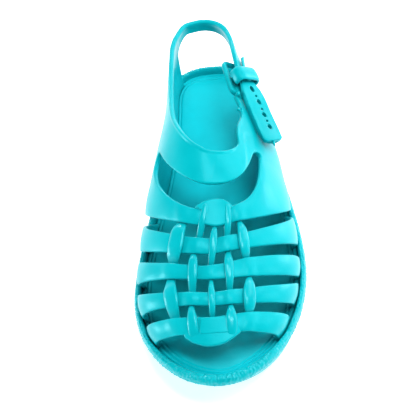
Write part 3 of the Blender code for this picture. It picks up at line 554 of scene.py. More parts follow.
# ---------------------------------------------------------------- woven strips
# stations of a strip: y, u, half width, level (1 lies on a strap, -1 under one)
WOVEN = {
    "woven_1": (
        (91.0, -0.222, 2.3, -1.0), (88.0, -0.230, 2.5, -0.9), (85.4, -0.238, 2.95, -0.45),
        (81.2, -0.254, 4.05, 0.75), (75.6, -0.269, 4.45, 1.0), (70.7, -0.286, 4.45, 0.95),
        (67.6, -0.304, 4.05, 0.5), (64.9, -0.319, 3.1, -0.45), (60.0, -0.338, 2.4, -1.0),
        (54.6, -0.349, 2.75, -0.35), (49.2, -0.349, 3.75, 0.85), (43.0, -0.352, 4.1, 1.0),
        (39.0, -0.362, 3.6, 0.55), (34.8, -0.380, 2.85, -0.5), (31.0, -0.392, 2.3, -1.0),
        (29.0, -0.398, 2.2, -1.0)),
    "woven_2": (
        (92.6, -0.018, 1.5, 0.35), (91.0, -0.023, 1.65, 0.52), (88.7, -0.031, 1.75, 0.62),
        (82.6, -0.054, 1.95, 0.55), (76.2, -0.083, 1.85, -0.5), (71.0, -0.112, 1.5, -1.0),
        (66.2, -0.134, 1.5, -0.3), (62.3, -0.134, 2.35, 0.75), (56.5, -0.139, 2.6, 1.0),
        (51.4, -0.153, 2.45, 0.6), (47.1, -0.169, 2.05, -0.45), (42.0, -0.184, 1.4, -1.0),
        (37.7, -0.195, 1.5, -0.25), (34.1, -0.197, 2.1, 0.7), (30.5, -0.200, 2.7, 1.0),
        (27.0, -0.212, 2.85, 0.85), (24.0, -0.226, 2.75, 0.55), (21.4, -0.236, 2.3, 0.1)),
    "woven_3": (
        (88.0, 0.056, 1.2, -1.0), (84.0, 0.050, 1.1, -0.9), (80.3, 0.044, 1.15, -0.35),
        (76.1, 0.037, 1.75, 0.7), (71.3, 0.030, 2.1, 1.0), (66.4, 0.023, 1.95, 0.8),
        (62.5, 0.014, 1.8, 0.25), (59.4, 0.006, 1.6, -0.45), (55.0, 0.002, 1.3, -1.0),
        (50.1, 0.001, 1.15, -0.35), (44.6, 0.002, 1.65, 0.8), (38.9, 0.001, 1.8, 1.0),
        (34.1, -0.004, 1.65, 0.35), (31.5, -0.010, 1.5, -0.45), (27.0, -0.014, 1.3, -1.0),
        (25.0, -0.014, 1.2, -1.0)),
    "woven_4": (
        (92.4, 0.143, 1.5, 0.35), (91.0, 0.143, 1.65, 0.52), (88.4, 0.143, 1.75, 0.62),
        (81.6, 0.139, 1.95, 0.55), (75.7, 0.135, 1.8, -0.5), (70.0, 0.136, 1.5, -1.0),
        (64.9, 0.138, 1.75, -0.3), (61.0, 0.140, 2.35, 0.75), (55.1, 0.146, 2.45, 1.0),
        (50.1, 0.150, 2.05, 0.55), (46.1, 0.153, 1.75, -0.45), (41.5, 0.160, 1.2, -1.0),
        (36.9, 0.168, 1.2, -0.25), (33.4, 0.172, 2.2, 0.7), (29.8, 0.179, 2.9, 1.0),
        (26.5, 0.190, 2.85, 0.85), (23.6, 0.202, 2.7, 0.55), (21.0, 0.210, 2.2, 0.1)),
    "woven_5": (
        (89.0, 0.215, 1.4, -1.0), (86.0, 0.223, 1.4, -0.9), (83.4, 0.231, 1.55, -0.4),
        (79.1, 0.243, 2.5, 0.7), (74.5, 0.250, 2.9, 1.0), (69.8, 0.257, 2.9, 0.95),
        (66.7, 0.268, 2.6, 0.5), (64.1, 0.280, 2.1, -0.45), (59.0, 0.300, 1.4, -1.0),
        (53.2, 0.311, 1.5, -0.35), (48.8, 0.312, 2.8, 0.75), (44.1, 0.316, 3.45, 1.0),
        (39.3, 0.328, 3.35, 0.95), (35.6, 0.341, 2.65, 0.4), (33.6, 0.352, 2.0, -0.45),
        (30.0, 0.362, 1.5, -1.0), (28.5, 0.366, 1.4, -1.0)),
}
HIDDEN_CROSSINGS = (("woven_3", 1), ("woven_3", 5))   # under the tab and the pad
UNDER = {"woven_1": (1, 3, 5), "woven_2": (2, 4), "woven_3": (1, 3, 5),
         "woven_4": (2, 4), "woven_5": (1, 3, 5)}


def strip_path(name, stations=190):
    """Stations along a woven strip: y, u, height over the straps, half width."""
    y, u, half, level = np.array(WOVEN[name])[::-1].T
    at = np.linspace(y[0], y[-1], stations)
    high = RIBBON_THICK / 2 - RIBBON_SINK
    low = -WALL - high
    return (at, smooth(y, u, at), low + (high - low) * (smooth(y, level, at) + 1) / 2,
            smooth(y, half, at))


def build_strips(material):
    section = rounded_section(20, 2.7)
    for name in WOVEN:
        y, u, up, half = strip_path(name)
        mid, n = last(y, u), last_normal(y, u)
        along = unit(np.gradient(mid, axis=0))
        side = unit(np.cross(along, n))
        c = mid + n * up[:, None]
        crest = unit(np.cross(side, unit(np.gradient(c, axis=0))))
        crest = np.where((crest * n).sum(1, keepdims=True) < 0, -crest, crest)
        # ends round off instead of being cut square
        run = np.minimum(y - y[0], y[-1] - y)
        close = np.sqrt(np.clip(1 - (1 - np.clip(run / 1.2, 0, 1)) ** 2, 0.02, None))
        rings = (c[:, None]
                 + side[:, None] * (close * half)[:, None, None] * section[None, :, :1]
                 + crest[:, None] * (close * RIBBON_THICK / 2)[:, None, None] * section[None, :, 1:])
        faces = tube_faces(len(y), len(section))
        make_piece(name, rings.reshape(-1, 3), faces, material)


# ------------------------------------------------------------ tabs and pads
# outlines in (y, u), and height of the top over the last, from rear to front
REAR_TAB = ((91.4, -0.114), (92.8, -0.083), (93.9, -0.041), (94.6, 0.004), (95.0, 0.041),
            (95.0, 0.077), (94.8, 0.114), (93.7, 0.147), (92.3, 0.170), (90.6, 0.189),
            (89.3, 0.170), (87.6, 0.150), (84.8, 0.145), (81.6, 0.135), (80.1, 0.088),
            (79.7, 0.049), (80.2, 0.010), (81.9, -0.046), (85.9, -0.046), (88.2, -0.054),
            (89.9, -0.086))
FRONT_TAB = ((22.9, -0.344), (20.8, -0.316), (19.2, -0.282), (17.9, -0.229), (16.7, -0.159),
             (16.2, -0.091), (16.2, 0.004), (16.6, 0.072), (17.5, 0.136), (18.9, 0.195),
             (20.2, 0.240), (21.9, 0.279), (23.6, 0.310), (26.0, 0.280), (27.5, 0.200),
             (28.0, 0.080), (28.0, -0.080), (27.5, -0.220), (26.0, -0.310))
FRONT_PAD = ((30.2, -0.110), (30.4, -0.030), (30.5, 0.060), (30.5, 0.135), (29.8, 0.152),
             (27.0, 0.160), (24.0, 0.168), (22.7, 0.160), (22.3, 0.090), (22.2, 0.000),
             (22.2, -0.090), (22.6, -0.150), (24.0, -0.152), (27.0, -0.138), (29.6, -0.124))


def closed_curve(points, count):
    """Even points on a smooth closed curve through the given ones."""
    p = np.array(points, float)
    k = len(p)
    t = np.linspace(0, k, 40 * k, endpoint=False)
    i = t.astype(int)
    f = (t - i)[:, None]
    a, b, c, d = p[(i - 1) % k], p[i], p[(i + 1) % k], p[(i + 2) % k]
    q = 0.5 * (2 * b + (c - a) * f + (2 * a - 5 * b + 4 * c - d) * f ** 2
               + (3 * b - a - 3 * c + d) * f ** 3)
    scale = q * [1.0, 78.0]
    run = np.concatenate([[0], np.cumsum(np.linalg.norm(np.diff(
        np.concatenate([scale, scale[:1]]), axis=0), axis=1))])
    at = np.linspace(0, run[-1], count, endpoint=False)
    q = np.concatenate([q, q[:1]])
    return np.stack([np.interp(at, run, q[:, 0]), np.interp(at, run, q[:, 1])], 1)


def build_plate(name, outline_yu, top, thick, radius, material, count=96):
    """Flat moulded tab on the last; top(y) is its height over the last."""
    loop = closed_curve(outline_yu, count)
    y, u = loop.T
    p, n = last(y, u), last_normal(y, u)
    t = unit(np.roll(p, -1, 0) - np.roll(p, 1, 0))
    out = unit(np.cross(t, n))
    middle = loop.mean(0)
    if ((p - last(middle[:1], middle[1:])) * out).sum() < 0:
        out = -out
    rows = []
    upper = top(y)
    for k in range(9):
        a = math.pi * (k / 8 - 0.5)
        ca, sa = math.cos(a), math.sin(a)
        flat = np.sign(sa) * abs(sa) ** 0.75
        rows.append(p + out * radius * (max(ca, 0) ** 0.75 - 1)
                    + n * (upper - thick / 2 + thick / 2 * flat)[:, None])
    shrink = np.linspace(0.86, 0.07, 12)
    above, below = [], []
    for f in shrink:
        yy, uu = (middle + (loop - middle) * f).T
        pp, nn = last(yy, uu), last_normal(yy, uu)
        above.append(pp + nn * top(yy)[:, None])
        below.append(pp + nn * (top(yy) - thick)[:, None])
    rows = below[::-1] + rows + above
    c, cn = last(middle[:1], middle[1:]), last_normal(middle[:1], middle[1:])
    level = top(middle[:1])[0]
    pts = np.concatenate(rows + [c + cn * (level - thick), c + cn * level])
    faces = tube_faces(len(rows), count, close_ends=False)
    end, total = (len(rows) - 1) * count, len(rows) * count
    for k in range(count):
        faces.append(((k + 1) % count, k, total))
        faces.append((end + k, end + (k + 1) % count, total + 1))
    return make_piece(name, pts, faces, material)


def build_tabs(material):
    build_plate("rear_tab", REAR_TAB, lambda y: 0.72 - 0.32 * ramp(y - 91.5, 2.5), 2.9, 0.9, material)
    build_plate("front_tab", FRONT_TAB, lambda y: 0.30 - 0.012 * (y - 22) ** 2 * (y > 22),
                2.9, 0.9, material)
    build_plate("front_pad", FRONT_PAD, lambda y: 0.62 + 0.03 * (y - 22.0), 1.6, 0.45, material)


# ---------------------------------------------------------------------- upper
def sling_row(s, inset, cells):
    c, across, out, half = sling_at(s)
    tail = float(ramp(s - 9.8, 0.7))
    run = np.interp(s, (0, 1, 2, 3, 4, 13), (0, 4.7, 10.3, 20.4, 29.6, 120))
    half = half + TAIL_WIDER * float(ramp(s - 9.45, 0.35))
    share = np.linspace(1, -1, cells + 1)
    levels = share * (half - inset + np.where(share > 0, -NECK * math.exp(-((s - 0.8) / 1.2) ** 2), 0))
    c = c + out * (TAIL_LIFT * tail + ARCH * math.exp(-((run - 8) / 8) ** 2))
    ridge = TAIL_RIDGE * tail * (np.abs(share) > 0.9) * float(1 - ramp(s - 12.45, 0.25))
    return c + levels[:, None] * across + ridge[:, None] * out


def sling_stations():
    s = np.linspace(0, len(SLING) - 1, 3000)
    c = sling_at(s)[0]
    run = np.concatenate([[0], np.cumsum(np.linalg.norm(np.diff(c, axis=0), axis=1))])
    plain = np.linspace(0, run[-1] - TAIL_ROUND, int(run[-1] / SLING_STEP))
    close = TAIL_ROUND * np.sin(np.linspace(0, math.pi / 2, 7)[1:])
    at = np.concatenate([plain, run[-1] - TAIL_ROUND + close])
    left = run[-1] - at
    inset = np.where(left < TAIL_ROUND, TAIL_ROUND - np.sqrt(np.clip(
        TAIL_ROUND ** 2 - (TAIL_ROUND - left) ** 2, 0, None)), 0)
    return np.interp(at, run, s), inset


PLAIN_EDGES = tuple(row[:-1] + (0.0,) for row in STRAP_EDGES)
PLAIN_LINES = tuple(row[:-1] + (0.0,) for row in LINES)


def cage_net():
    """Outer face of the upper as one quad net, with what each vertex belongs to."""
    n_in, n_mid, n_out = CELLS
    width = sum(CELLS) + 1
    us, ys, solid, strap, across = [], [], [], [], []

    def add(u, y, kind, which, t):
        us.append(u)
        ys.append(y)
        solid.append(kind)
        strap.append(which)
        across.append(t)

    u = spread(-STRAP_SIDE, STRAP_SIDE, CELLS)
    for k in range(4):
        front, rear = strap_edge(PLAIN_EDGES[2 * k], u), strap_edge(PLAIN_EDGES[2 * k + 1], u)
        for i in range(STRAP_ROWS + 1):
            add(u, front + (rear - front) * i / STRAP_ROWS, "none" if i == 0 else "all",
                5 - k, 2 * i / STRAP_ROWS - 1)
    front = strap_edge(PLAIN_EDGES[8], u)
    lines = [line_points(row, CELLS) for row in PLAIN_LINES]
    lines += [quarter_points(row, CELLS) for row in QUARTERS]
    y_top, z_top, foot = REAR_EDGE
    u_top = u_at_height(y_top, z_top, False)
    rear_u, rear_y = lines[-1][0].copy(), lines[-1][1].copy()
    rear_u[:n_in + 1] = np.linspace(-1, u_top, n_in + 1)
    rear_y[:n_in + 1] = y_top + (foot - y_top) * (u_top - rear_u[:n_in + 1]) / (u_top + 1)
    rear_y[:n_in + 1] += 1.6 * np.sin(np.linspace(0, math.pi, n_in + 1))
    lines.append((rear_u, rear_y))
    for i in range(STRAP_ROWS + 1):
        t = i / STRAP_ROWS
        add(u + (lines[0][0] - u) * t, front + (lines[0][1] - front) * t,
            "none" if i == 0 else "all", 1, 2 * t - 1)
    steps = np.arange(1, (len(lines) - 1) * LINE_STEPS + 1) / LINE_STEPS
    lu = smooth_rows([a for a, b in lines], steps, len(LINES) - 1)
    ly = smooth_rows([b for a, b in lines], steps, len(LINES) - 1)
    for t, a, b in zip(steps, lu, ly):
        i = math.ceil(t) - 1
        kind = "sides" if i < 4 else "all" if i < 7 else "sides" if i < 13 else "inner"
        add(a, b, kind, 0, 0.0)
    us, ys = np.array(us), np.array(ys)
    points = last(ys, us).reshape(-1, 3)
    faces = []
    for i in range(1, len(us)):
        for j in range(width - 1):
            inner, outer = j < n_in, j >= n_in + n_mid
            if (solid[i] == "all" or (solid[i] == "sides" and (inner or outer))
                    or (solid[i] == "inner" and inner)):
                a = (i - 1) * width + j
                faces.append((a, a + 1, a + 1 + width, a + width))
    tags = {
        "u": us.reshape(-1), "y": ys.reshape(-1),
        "strap": np.repeat(strap, width), "across": np.repeat(across, width),
    }
    opening = np.zeros((len(us), width))
    rear = 5 * (STRAP_ROWS + 1) + 7 * LINE_STEPS - 1      # rear edge of the band
    opening[rear, n_in:n_in + n_mid + 1] = 1
    opening[rear:, n_in] = 1
    opening[rear:, n_in + n_mid] = 0.6
    opening[rear, n_in + n_mid - 5:n_in + n_mid + 1] = 0      # tight corner
    opening[rear:rear + 5, n_in + n_mid] = 0
    tags["open"], tags["thick"] = opening.reshape(-1), np.zeros(opening.size)
    # the sling grows from the upper part of the inner quarter
    cells = round(n_in * 0.25)
    before = [(len(us) - 1) * width + n_in - cells + k for k in range(cells + 1)]
    ahead = [v - width for v in before]
    stations, insets = sling_stations()
    rows = [sling_row(s, inset, cells) for s, inset in zip(stations, insets)]
    along = unit(rows[-1] - rows[-12])
    for k in range(1, len(rows)):
        reach = max(0.0, 1 - (len(rows) - k) / 40)
        rows[k] = rows[k] + along * TAIL_LONGER * reach
    start, end = points[before], rows[0]
    reach = np.linalg.norm(end - start, axis=1, keepdims=True)
    leave, arrive = unit(start - points[ahead]) * reach, unit(rows[1] - end) * reach
    lead = []
    for t in (0.25, 0.5, 0.75):
        t2, t3 = t * t, t * t * t
        lead.append((2 * t3 - 3 * t2 + 1) * start + (t3 - 2 * t2 + t) * leave
                    + (3 * t2 - 2 * t3) * end + (t3 - t2) * arrive)
    for row, s in zip(lead + rows, [0.0] * len(lead) + list(stations)):
        now = [len(points) + k for k in range(cells + 1)]
        points = np.concatenate([points, row])
        for k in range(cells):
            faces.append((before[k], before[k + 1], now[k + 1], now[k]))
        before = now
        for name, value in (("u", 0.0), ("y", 0.0), ("strap", -1)):
            tags[name] = np.concatenate([tags[name], np.full(cells + 1, value)])
        tags["across"] = np.concatenate([tags["across"], np.linspace(-1, 1, cells + 1)])
        rolled = np.zeros(cells + 1)
        rolled[cells] = 0.8 * float(1 - ramp(s - 8.0, 0.6))
        tags["open"] = np.concatenate([tags["open"], rolled])
        tags["thick"] = np.concatenate([tags["thick"], np.full(
            cells + 1, TAIL_THICKER * float(ramp(s - 9.8, 0.6)))])
    faces = np.array(faces)
    return ease(points, faces, (start.mean(0) + end.mean(0)) / 2, 10.0, 60), faces, tags


def ease(points, faces, centre, reach, passes):
    """Even out the net round a place; its border only moves along itself."""
    sides = np.concatenate([faces[:, [k, (k + 1) % 4]] for k in range(4)])
    sides, shared = np.unique(np.sort(sides, axis=1), axis=0, return_counts=True)
    border = np.zeros(len(points), bool)
    border[sides[shared == 1].reshape(-1)] = True
    a, b = np.concatenate([sides, sides[:, ::-1]]).T
    rim = np.concatenate([shared == 1, shared == 1])
    use = ~border[a] | rim
    a, b = a[use], b[use]
    count = np.maximum(np.bincount(a, minlength=len(points)), 1)[:, None]
    distance = np.linalg.norm(points - centre, axis=1)
    weight = 0.6 * np.exp(-(distance / reach) ** 4)[:, None]
    weight[np.bincount(a, minlength=len(points)) < 2] = 0
    for _ in range(passes):
        total = np.zeros_like(points)
        np.add.at(total, a, points[b])
        points = points + weight * (total / count - points)
    return points


def net_normals(points, faces):
    p = points[faces]
    f = np.cross(p[:, 2] - p[:, 0], p[:, 3] - p[:, 1])
    n = np.zeros_like(points)
    for k in range(4):
        np.add.at(n, faces[:, k], f)
    return unit(n)


def net_edges(faces):
    """Directed boundary edges (a, b) and all undirected edges."""
    e = np.concatenate([faces[:, [k, (k + 1) % 4]] for k in range(4)])
    seen = set(map(tuple, e.tolist()))
    rim = np.array([(a, b) for a, b in seen if (b, a) not in seen])
    rim = rim[np.lexsort((rim[:, 1], rim[:, 0]))]
    both = np.unique(np.sort(e, axis=1), axis=0)
    return rim, both


def relax(points, edges, movable, passes, share=0.5):
    """Moves the movable vertices towards the mean of their neighbours."""
    count = np.zeros(len(points))
    for k in (0, 1):
        np.add.at(count, edges[:, k], 1)
    count = np.maximum(count, 1)[:, None]
    for _ in range(passes):
        total = np.zeros_like(points)
        np.add.at(total, edges[:, 0], points[edges[:, 1]])
        np.add.at(total, edges[:, 1], points[edges[:, 0]])
        points = np.where(movable[:, None], points + share * (total / count - points), points)
    return points


def carry(shift, edges, fixed, passes=60, keep=0.985):
    """Lets the shift of the fixed vertices fade into the net around them."""
    count = np.zeros(len(shift))
    for k in (0, 1):
        np.add.at(count, edges[:, k], 1)
    count = np.maximum(count, 1)[:, None]
    for _ in range(passes):
        total = np.zeros_like(shift)
        np.add.at(total, edges[:, 0], shift[edges[:, 1]])
        np.add.at(total, edges[:, 1], shift[edges[:, 0]])
        shift = np.where(fixed[:, None], shift, keep * total / count)
    return shift


def outward(points, normals, rim):
    """Direction out of the net across its boundary, at boundary vertices."""
    t = np.zeros_like(points)
    d = unit(points[rim[:, 1]] - points[rim[:, 0]])
    np.add.at(t, rim[:, 0], d)
    np.add.at(t, rim[:, 1], d)
    return unit(np.cross(unit(t), normals))


# where the band's outer end folds over the quarter, and a mould line: y, u
CREASE = ((118.3, 0.394), (124.1, 0.419), (130.5, 0.448), (137.5, 0.475), (143.2, 0.493))
MOULD_LINE = ((105.1, 0.051), (107.9, 0.070), (111.9, 0.095), (116.8, 0.134), (119.9, 0.150))


def weave(points, tags):
    """How far the straps swell and sink where the strips cross them."""
    u, y, strap = tags["u"], tags["y"], tags["strap"]
    on = strap > 0
    shift = np.zeros(len(points))
    uu, yy, kk = u[on], y[on], strap[on]
    scale = np.linalg.norm(last(yy, uu + 0.01) - last(yy, uu - 0.01), axis=1) / 0.02
    moved = np.zeros(len(uu))
    for name in WOVEN:
        py, pu, up, half = strip_path(name)
        d = np.abs(uu - np.interp(yy, py, pu)) * scale
        wide = np.interp(yy, py, half)
        for k in range(1, 6):
            if (name, k) in HIDDEN_CROSSINGS:
                continue
            here = (RISE * np.exp(-(d / (wide + 1.9)) ** 3) if k in UNDER[name]
                    else PRESS * np.exp(-(d / (wide + 0.7)) ** 3))
            moved = moved + np.where(kk == k, here, 0)
    shift[on] = moved + CROWN * (1 - tags["across"][on] ** 2)
    flat = strap == 0
    uu, yy = u[flat], y[flat]
    scale = np.linalg.norm(last(yy, uu + 0.01) - last(yy, uu - 0.01), axis=1) / 0.02
    cy, cu = np.array(CREASE).T
    d = (uu - np.interp(yy, cy, cu)) * scale
    ends = ramp(yy - 119.0, 2.0) * ramp(144.5 - yy, 2.0)
    fold = -0.45 * np.tanh(d / 0.5) * np.exp(-np.abs(d) / 3.5) * ends
    cy, cu = np.array(MOULD_LINE).T
    d = (uu - np.interp(yy, cy, cu)) * scale
    fold += 0.2 * np.exp(-(d / 0.55) ** 2) * ramp(yy - 105.5, 1.0) * ramp(119.0 - yy, 2.0)
    shift[flat] += fold
    tail = strap < 0
    shift[tail] += 0.3 * (1 - tags["across"][tail] ** 2)
    return shift


def build_upper(material):
    points, faces, tags = cage_net()
    rim, edges = net_edges(faces)
    on_rim = np.zeros(len(points), bool)
    on_rim[rim] = True
    foot = np.abs(tags["u"]) > 0.9995
    free = on_rim & ~foot
    loose = free & (tags["strap"] >= 0)
    points = points + carry(relax(points, rim, loose, BOUNDARY_PASSES) - points, edges, on_rim)
    normals = net_normals(points, faces)
    out = outward(points, normals, rim)
    rolled = relax(tags["open"][:, None], rim, on_rim, 8)
    bulge = BULGE + (OPEN_BULGE - BULGE) * rolled
    bulge = bulge * (1 - 0.6 * tags["thick"][:, None] / TAIL_THICKER)    # squarer edge on the tail
    points = points + carry(np.where(free[:, None], -out * bulge, 0), edges, on_rim)
    normals = net_normals(points, faces)
    points = points + normals * weave(points, tags)[:, None]
    normals = net_normals(points, faces)
    out = outward(points, normals, rim)

    n = len(points)
    wall = WALL + tags["thick"][:, None]
    all_points = [points, points - normals * wall]
    all_faces = [tuple(f) for f in faces] + [tuple(v + n for v in f[::-1]) for f in faces.tolist()]
    at = np.full(n, -1)
    rim_vertices = np.unique(rim)
    at[rim_vertices] = np.arange(len(rim_vertices))
    base = 2 * n
    count = EDGE_POINTS - 1
    ring = []
    r, power = rim_vertices, 2.6 - 0.5 * rolled[rim_vertices]
    for k in range(1, EDGE_POINTS):
        angle = math.pi * k / EDGE_POINTS
        t = math.cos(angle)
        lip = OPEN_LIP * rolled[r] * max(0.0, math.sin(2 * angle))
        ring.append(points[r] + normals[r] * (lip - wall[r] / 2 * (1 - t))
                    + out[r] * bulge[r] * (1 - abs(t) ** power) ** (1 / power))
    all_points.append(np.stack(ring, 1).reshape(-1, 3))
    for a, b in rim.tolist():
        left = [a] + [base + at[a] * count + k for k in range(count)] + [a + n]
        right = [b] + [base + at[b] * count + k for k in range(count)] + [b + n]
        for k in range(len(left) - 1):
            all_faces.append((right[k], left[k], left[k + 1], right[k + 1]))
    upper = make_piece("upper_cage", np.concatenate(all_points), all_faces, material,
                       "upper")
    cut_holes(upper, material)
    return upper


def cut_holes(upper, material):
    """Oval holes and dots through the tail of the strap."""
    points, faces = [], []
    around = np.linspace(0, 2 * math.pi, 20, endpoint=False)
    for row in HOLES:
        e = dict(zip(HOLE_COLUMNS, row))
        c, across, out, half = sling_at(sling_place(e["y"]))
        along = np.cross(across, out)
        c = c + across * half * e["level"]
        first = len(points)
        bottom = -WALL - 2.0 if e["half_long"] > 2 else TAIL_LIFT - 1.6
        for up, grow in ((3.0, 1.3), (TAIL_LIFT, 1.15), (TAIL_LIFT - 0.5, 1.0), (bottom, 0.95)):
            for a in around:
                points.append(c + out * up + along * (math.cos(a) * e["half_long"] * grow)
                              + across * (math.sin(a) * e["half_wide"] * grow))
        bar = facing_out(np.array(points[first:]) - points[first], tube_faces(4, 20))
        faces += [tuple(first + k for k in f) for f in bar]
    mesh = bpy.data.meshes.new("hole_bars")
    mesh.from_pydata(place(np.array(points)).tolist(), [], faces)
    mesh.materials.append(material)
    bars = bpy.data.objects.new("hole_bars", mesh)
    bpy.context.scene.collection.objects.link(bars)
    cut = upper.modifiers.new("holes", "BOOLEAN")
    cut.operation, cut.solver, cut.object = "DIFFERENCE", "EXACT", bars
    bpy.context.view_layer.update()
    done = bpy.data.meshes.new_from_object(upper.evaluated_get(bpy.context.evaluated_depsgraph_get()))
    upper.modifiers.clear()
    upper.data = done
    bpy.data.objects.remove(bars, do_unlink=True)


# ----------------------------------------------------------------------- sole
def pebbles(run, across, spacing, height):
    """Rounded grains on a jittered grid over a strip run by across."""
    cell_a, cell_b = np.floor(run / spacing), np.floor(across / spacing)
    best = np.full(run.shape, 9.0)
    for da in (-1, 0, 1):
        for db in (-1, 0, 1):
            a, b = cell_a + da, cell_b + db
            key = np.sin(a * 12.9898 + b * 78.233) * 43758.5453
            other = np.sin(a * 39.346 + b * 11.135) * 24634.6345
            pa = (a + 0.5 + 0.7 * (key - np.floor(key) - 0.5)) * spacing
            pb = (b + 0.5 + 0.7 * (other - np.floor(other) - 0.5)) * spacing
            best = np.minimum(best, np.hypot(run - pa, across - pb))
    return height * np.clip(1 - (best / (0.62 * spacing)) ** 2, 0, None)


def loop_run(loop):
    d = np.linalg.norm(np.roll(loop, -1, 0) - loop, axis=1)
    return np.concatenate([[0], np.cumsum(d)[:-1]])


def rib_cap(first, n, flip):
    faces = []
    for i in range(n):
        a, b = first + i, first + i + 1
        c, d = first + (2 * n - i - 1) % (2 * n), first + (2 * n - i) % (2 * n)
        face = [a, b, c, d]
        face = [v for k, v in enumerate(face) if v not in face[:k]]
        faces.append(tuple(face[::-1] if flip else face))
    return faces


def groove(y):
    """Height of the grooves between the lugs above the underside."""
    away = np.abs(np.asarray(y)[:, None] - np.array(GROOVES_Y, float)).min(1)
    return GROOVE_DEPTH * (1 - ramp(away - GROOVE_WIDTH / 2, 0.35))


def build_sole(material, n=640):
    base = outline(n)
    rim, lip = rim_z(base[:, 1]), rim_z(base[:, 1]) - LIP_HEIGHT
    width = rim_width(base[:, 1])
    run = loop_run(base)
    rows = []
    for inset, share_down in ((9.0, 1.0), (7.0, 1.0), (5.6, 0.985), (4.2, 0.94), (3.2, 0.86),
                              (2.7, 0.75), (2.2, 0.55), (1.9, 0.3), (1.7, 0.08), (1.5, 0.0)):
        loop = outline(n, inset)
        floor = underside_z(loop[:, 1])
        z = np.maximum(lip + (floor - lip) * share_down, floor)
        rows.append(np.column_stack([loop, np.maximum(z, floor + groove(loop[:, 1]))
                                     if share_down > 0.8 else z]))
    # lip and rim as one rounded bead, grained on top
    bead = rounded_bead()
    girth = np.concatenate([[0], np.cumsum(np.linalg.norm(np.diff(bead * [4.0, 1.0], axis=0), axis=1))])
    for (share_in, below), g in zip(bead, girth):
        loop = outline(n, width * share_in)
        grain = pebbles(run, np.full(2 * n, g), 1.5, 0.6) if 3.4 > below and share_in < 0.9 else 0
        flat = outline(n, width * share_in + 0.4) - loop
        lean = np.clip(1 - below / 3.0, 0, 1)
        rows.append(np.column_stack([loop - flat / 0.4 * np.reshape(grain * (1 - lean), (-1, 1))
                                     if np.ndim(grain) else loop, rim - below + grain * lean]))
    loop = outline(n, width)
    rows.append(np.column_stack([loop, rim_z(loop[:, 1]) - RIM_HEIGHT - INSOLE_THICK - GAP]))
    points = np.concatenate(rows)
    faces = tube_faces(len(rows), 2 * n, close_ends=False)
    faces += rib_cap(0, n, True) + rib_cap((len(rows) - 1) * 2 * n, n, False)
    sole = make_piece("outsole", points, faces, material, "sole")
    return sole


def rounded_bead():
    """(share of the rim's width, mm below its top) from the lip over the rim."""
    pts = [(0.12, 4.9), (0.05, 4.5), (0.0, 3.9), (0.0, 3.3), (0.0, 2.8), (0.01, 2.3), (0.02, 1.8),
           (0.04, 1.4), (0.07, 1.0), (0.11, 0.65), (0.16, 0.4), (0.23, 0.2), (0.31, 0.08),
           (0.40, 0.02), (0.49, 0.0), (0.58, 0.02), (0.67, 0.08), (0.76, 0.2), (0.84, 0.42),
           (0.91, 0.75), (0.96, 1.15), (0.99, 1.6), (1.0, 2.2)]
    return np.array(pts)


def build_insole(material, n=200, cells=28):
    """Foot bed: two fine lines along its border, slightly dished inside them."""
    base_width = rim_width(outline(n)[:, 1]) + GAP
    border = ((0.0, -INSOLE_THICK), (0.0, -1.6), (0.5, -1.5), (0.8, -0.5), (1.05, 0.0), (1.6, 0.1),
              (2.2, 0.0), (2.5, -0.45), (2.75, -0.6), (3.0, -0.45), (3.3, 0.0), (3.9, 0.08),
              (4.3, 0.0), (4.6, -0.3), (4.85, -0.4), (5.1, -0.3), (5.4, 0.0), (6.0, 0.0))
    rows = []
    for inset, dz in border:
        loop = outline(n, base_width + inset)
        rows.append(np.column_stack([loop, rim_z(loop[:, 1]) - RIM_HEIGHT + dz]))
    points = np.concatenate(rows)
    faces = tube_faces(len(rows), 2 * n, close_ends=False) + rib_cap(0, n, True)
    last_row = (len(rows) - 1) * 2 * n
    inner = rows[-1]
    grid = {}
    extra = []
    for i in range(n + 1):
        a, b = inner[i], inner[(2 * n - i) % (2 * n)]
        for k in range(cells + 1):
            if i in (0, n):
                grid[i, k] = last_row + i
            elif k == 0:
                grid[i, k] = last_row + i
            elif k == cells:
                grid[i, k] = last_row + 2 * n - i
            else:
                t = k / cells
                p = a + (b - a) * t
                p = np.array([p[0], p[1], rim_z(p[1]) - RIM_HEIGHT - DISH * (1 - (2 * t - 1) ** 4)
                              * min(1.0, np.linalg.norm(b - a) / 30)])
                grid[i, k] = len(points) + len(extra)
                extra.append(p)
    points = np.concatenate([points, np.array(extra)])
    for i in range(n):
        for k in range(cells):
            f = [grid[i, k], grid[i + 1, k], grid[i + 1, k + 1], grid[i, k + 1]]
            f = [v for j, v in enumerate(f) if v not in f[:j]]
            if len(f) > 2:
                faces.append(tuple(f))
    return make_piece("foot_bed", points, faces, material, "insole")


DISH = 0.7


# --------------------------------------------------------------------- buckle
def buckle_axes():
    c, across, out, half = sling_at(sling_place(BUCKLE_Y))
    return c, np.cross(across, out), across, out


def in_buckle(local):
    c, along, across, out = buckle_axes()
    local = np.asarray(local, float)
    return (c + local[..., :1] * along + local[..., 1:2] * across + local[..., 2:3] * out)


def rounded_rectangle(x0, x1, y0, y1, radius, steps=8, side=8):
    pts = []
    for cx, cy, start in ((x1 - radius, y1 - radius, 0), (x0 + radius, y1 - radius, 90),
                          (x0 + radius, y0 + radius, 180), (x1 - radius, y0 + radius, 270)):
        for k in range(steps + 1):
            a = math.radians(start + 90 * k / steps)
            pts.append((cx + radius * math.cos(a), cy + radius * math.sin(a)))
    full = []
    for a, b in zip(pts, pts[1:] + pts[:1]):
        far = math.dist(a, b) > 2.0
        for k in range(side if far else 1):
            t = k / (side if far else 1)
            full.append((a[0] + (b[0] - a[0]) * t, a[1] + (b[1] - a[1]) * t))
    return np.array(full)


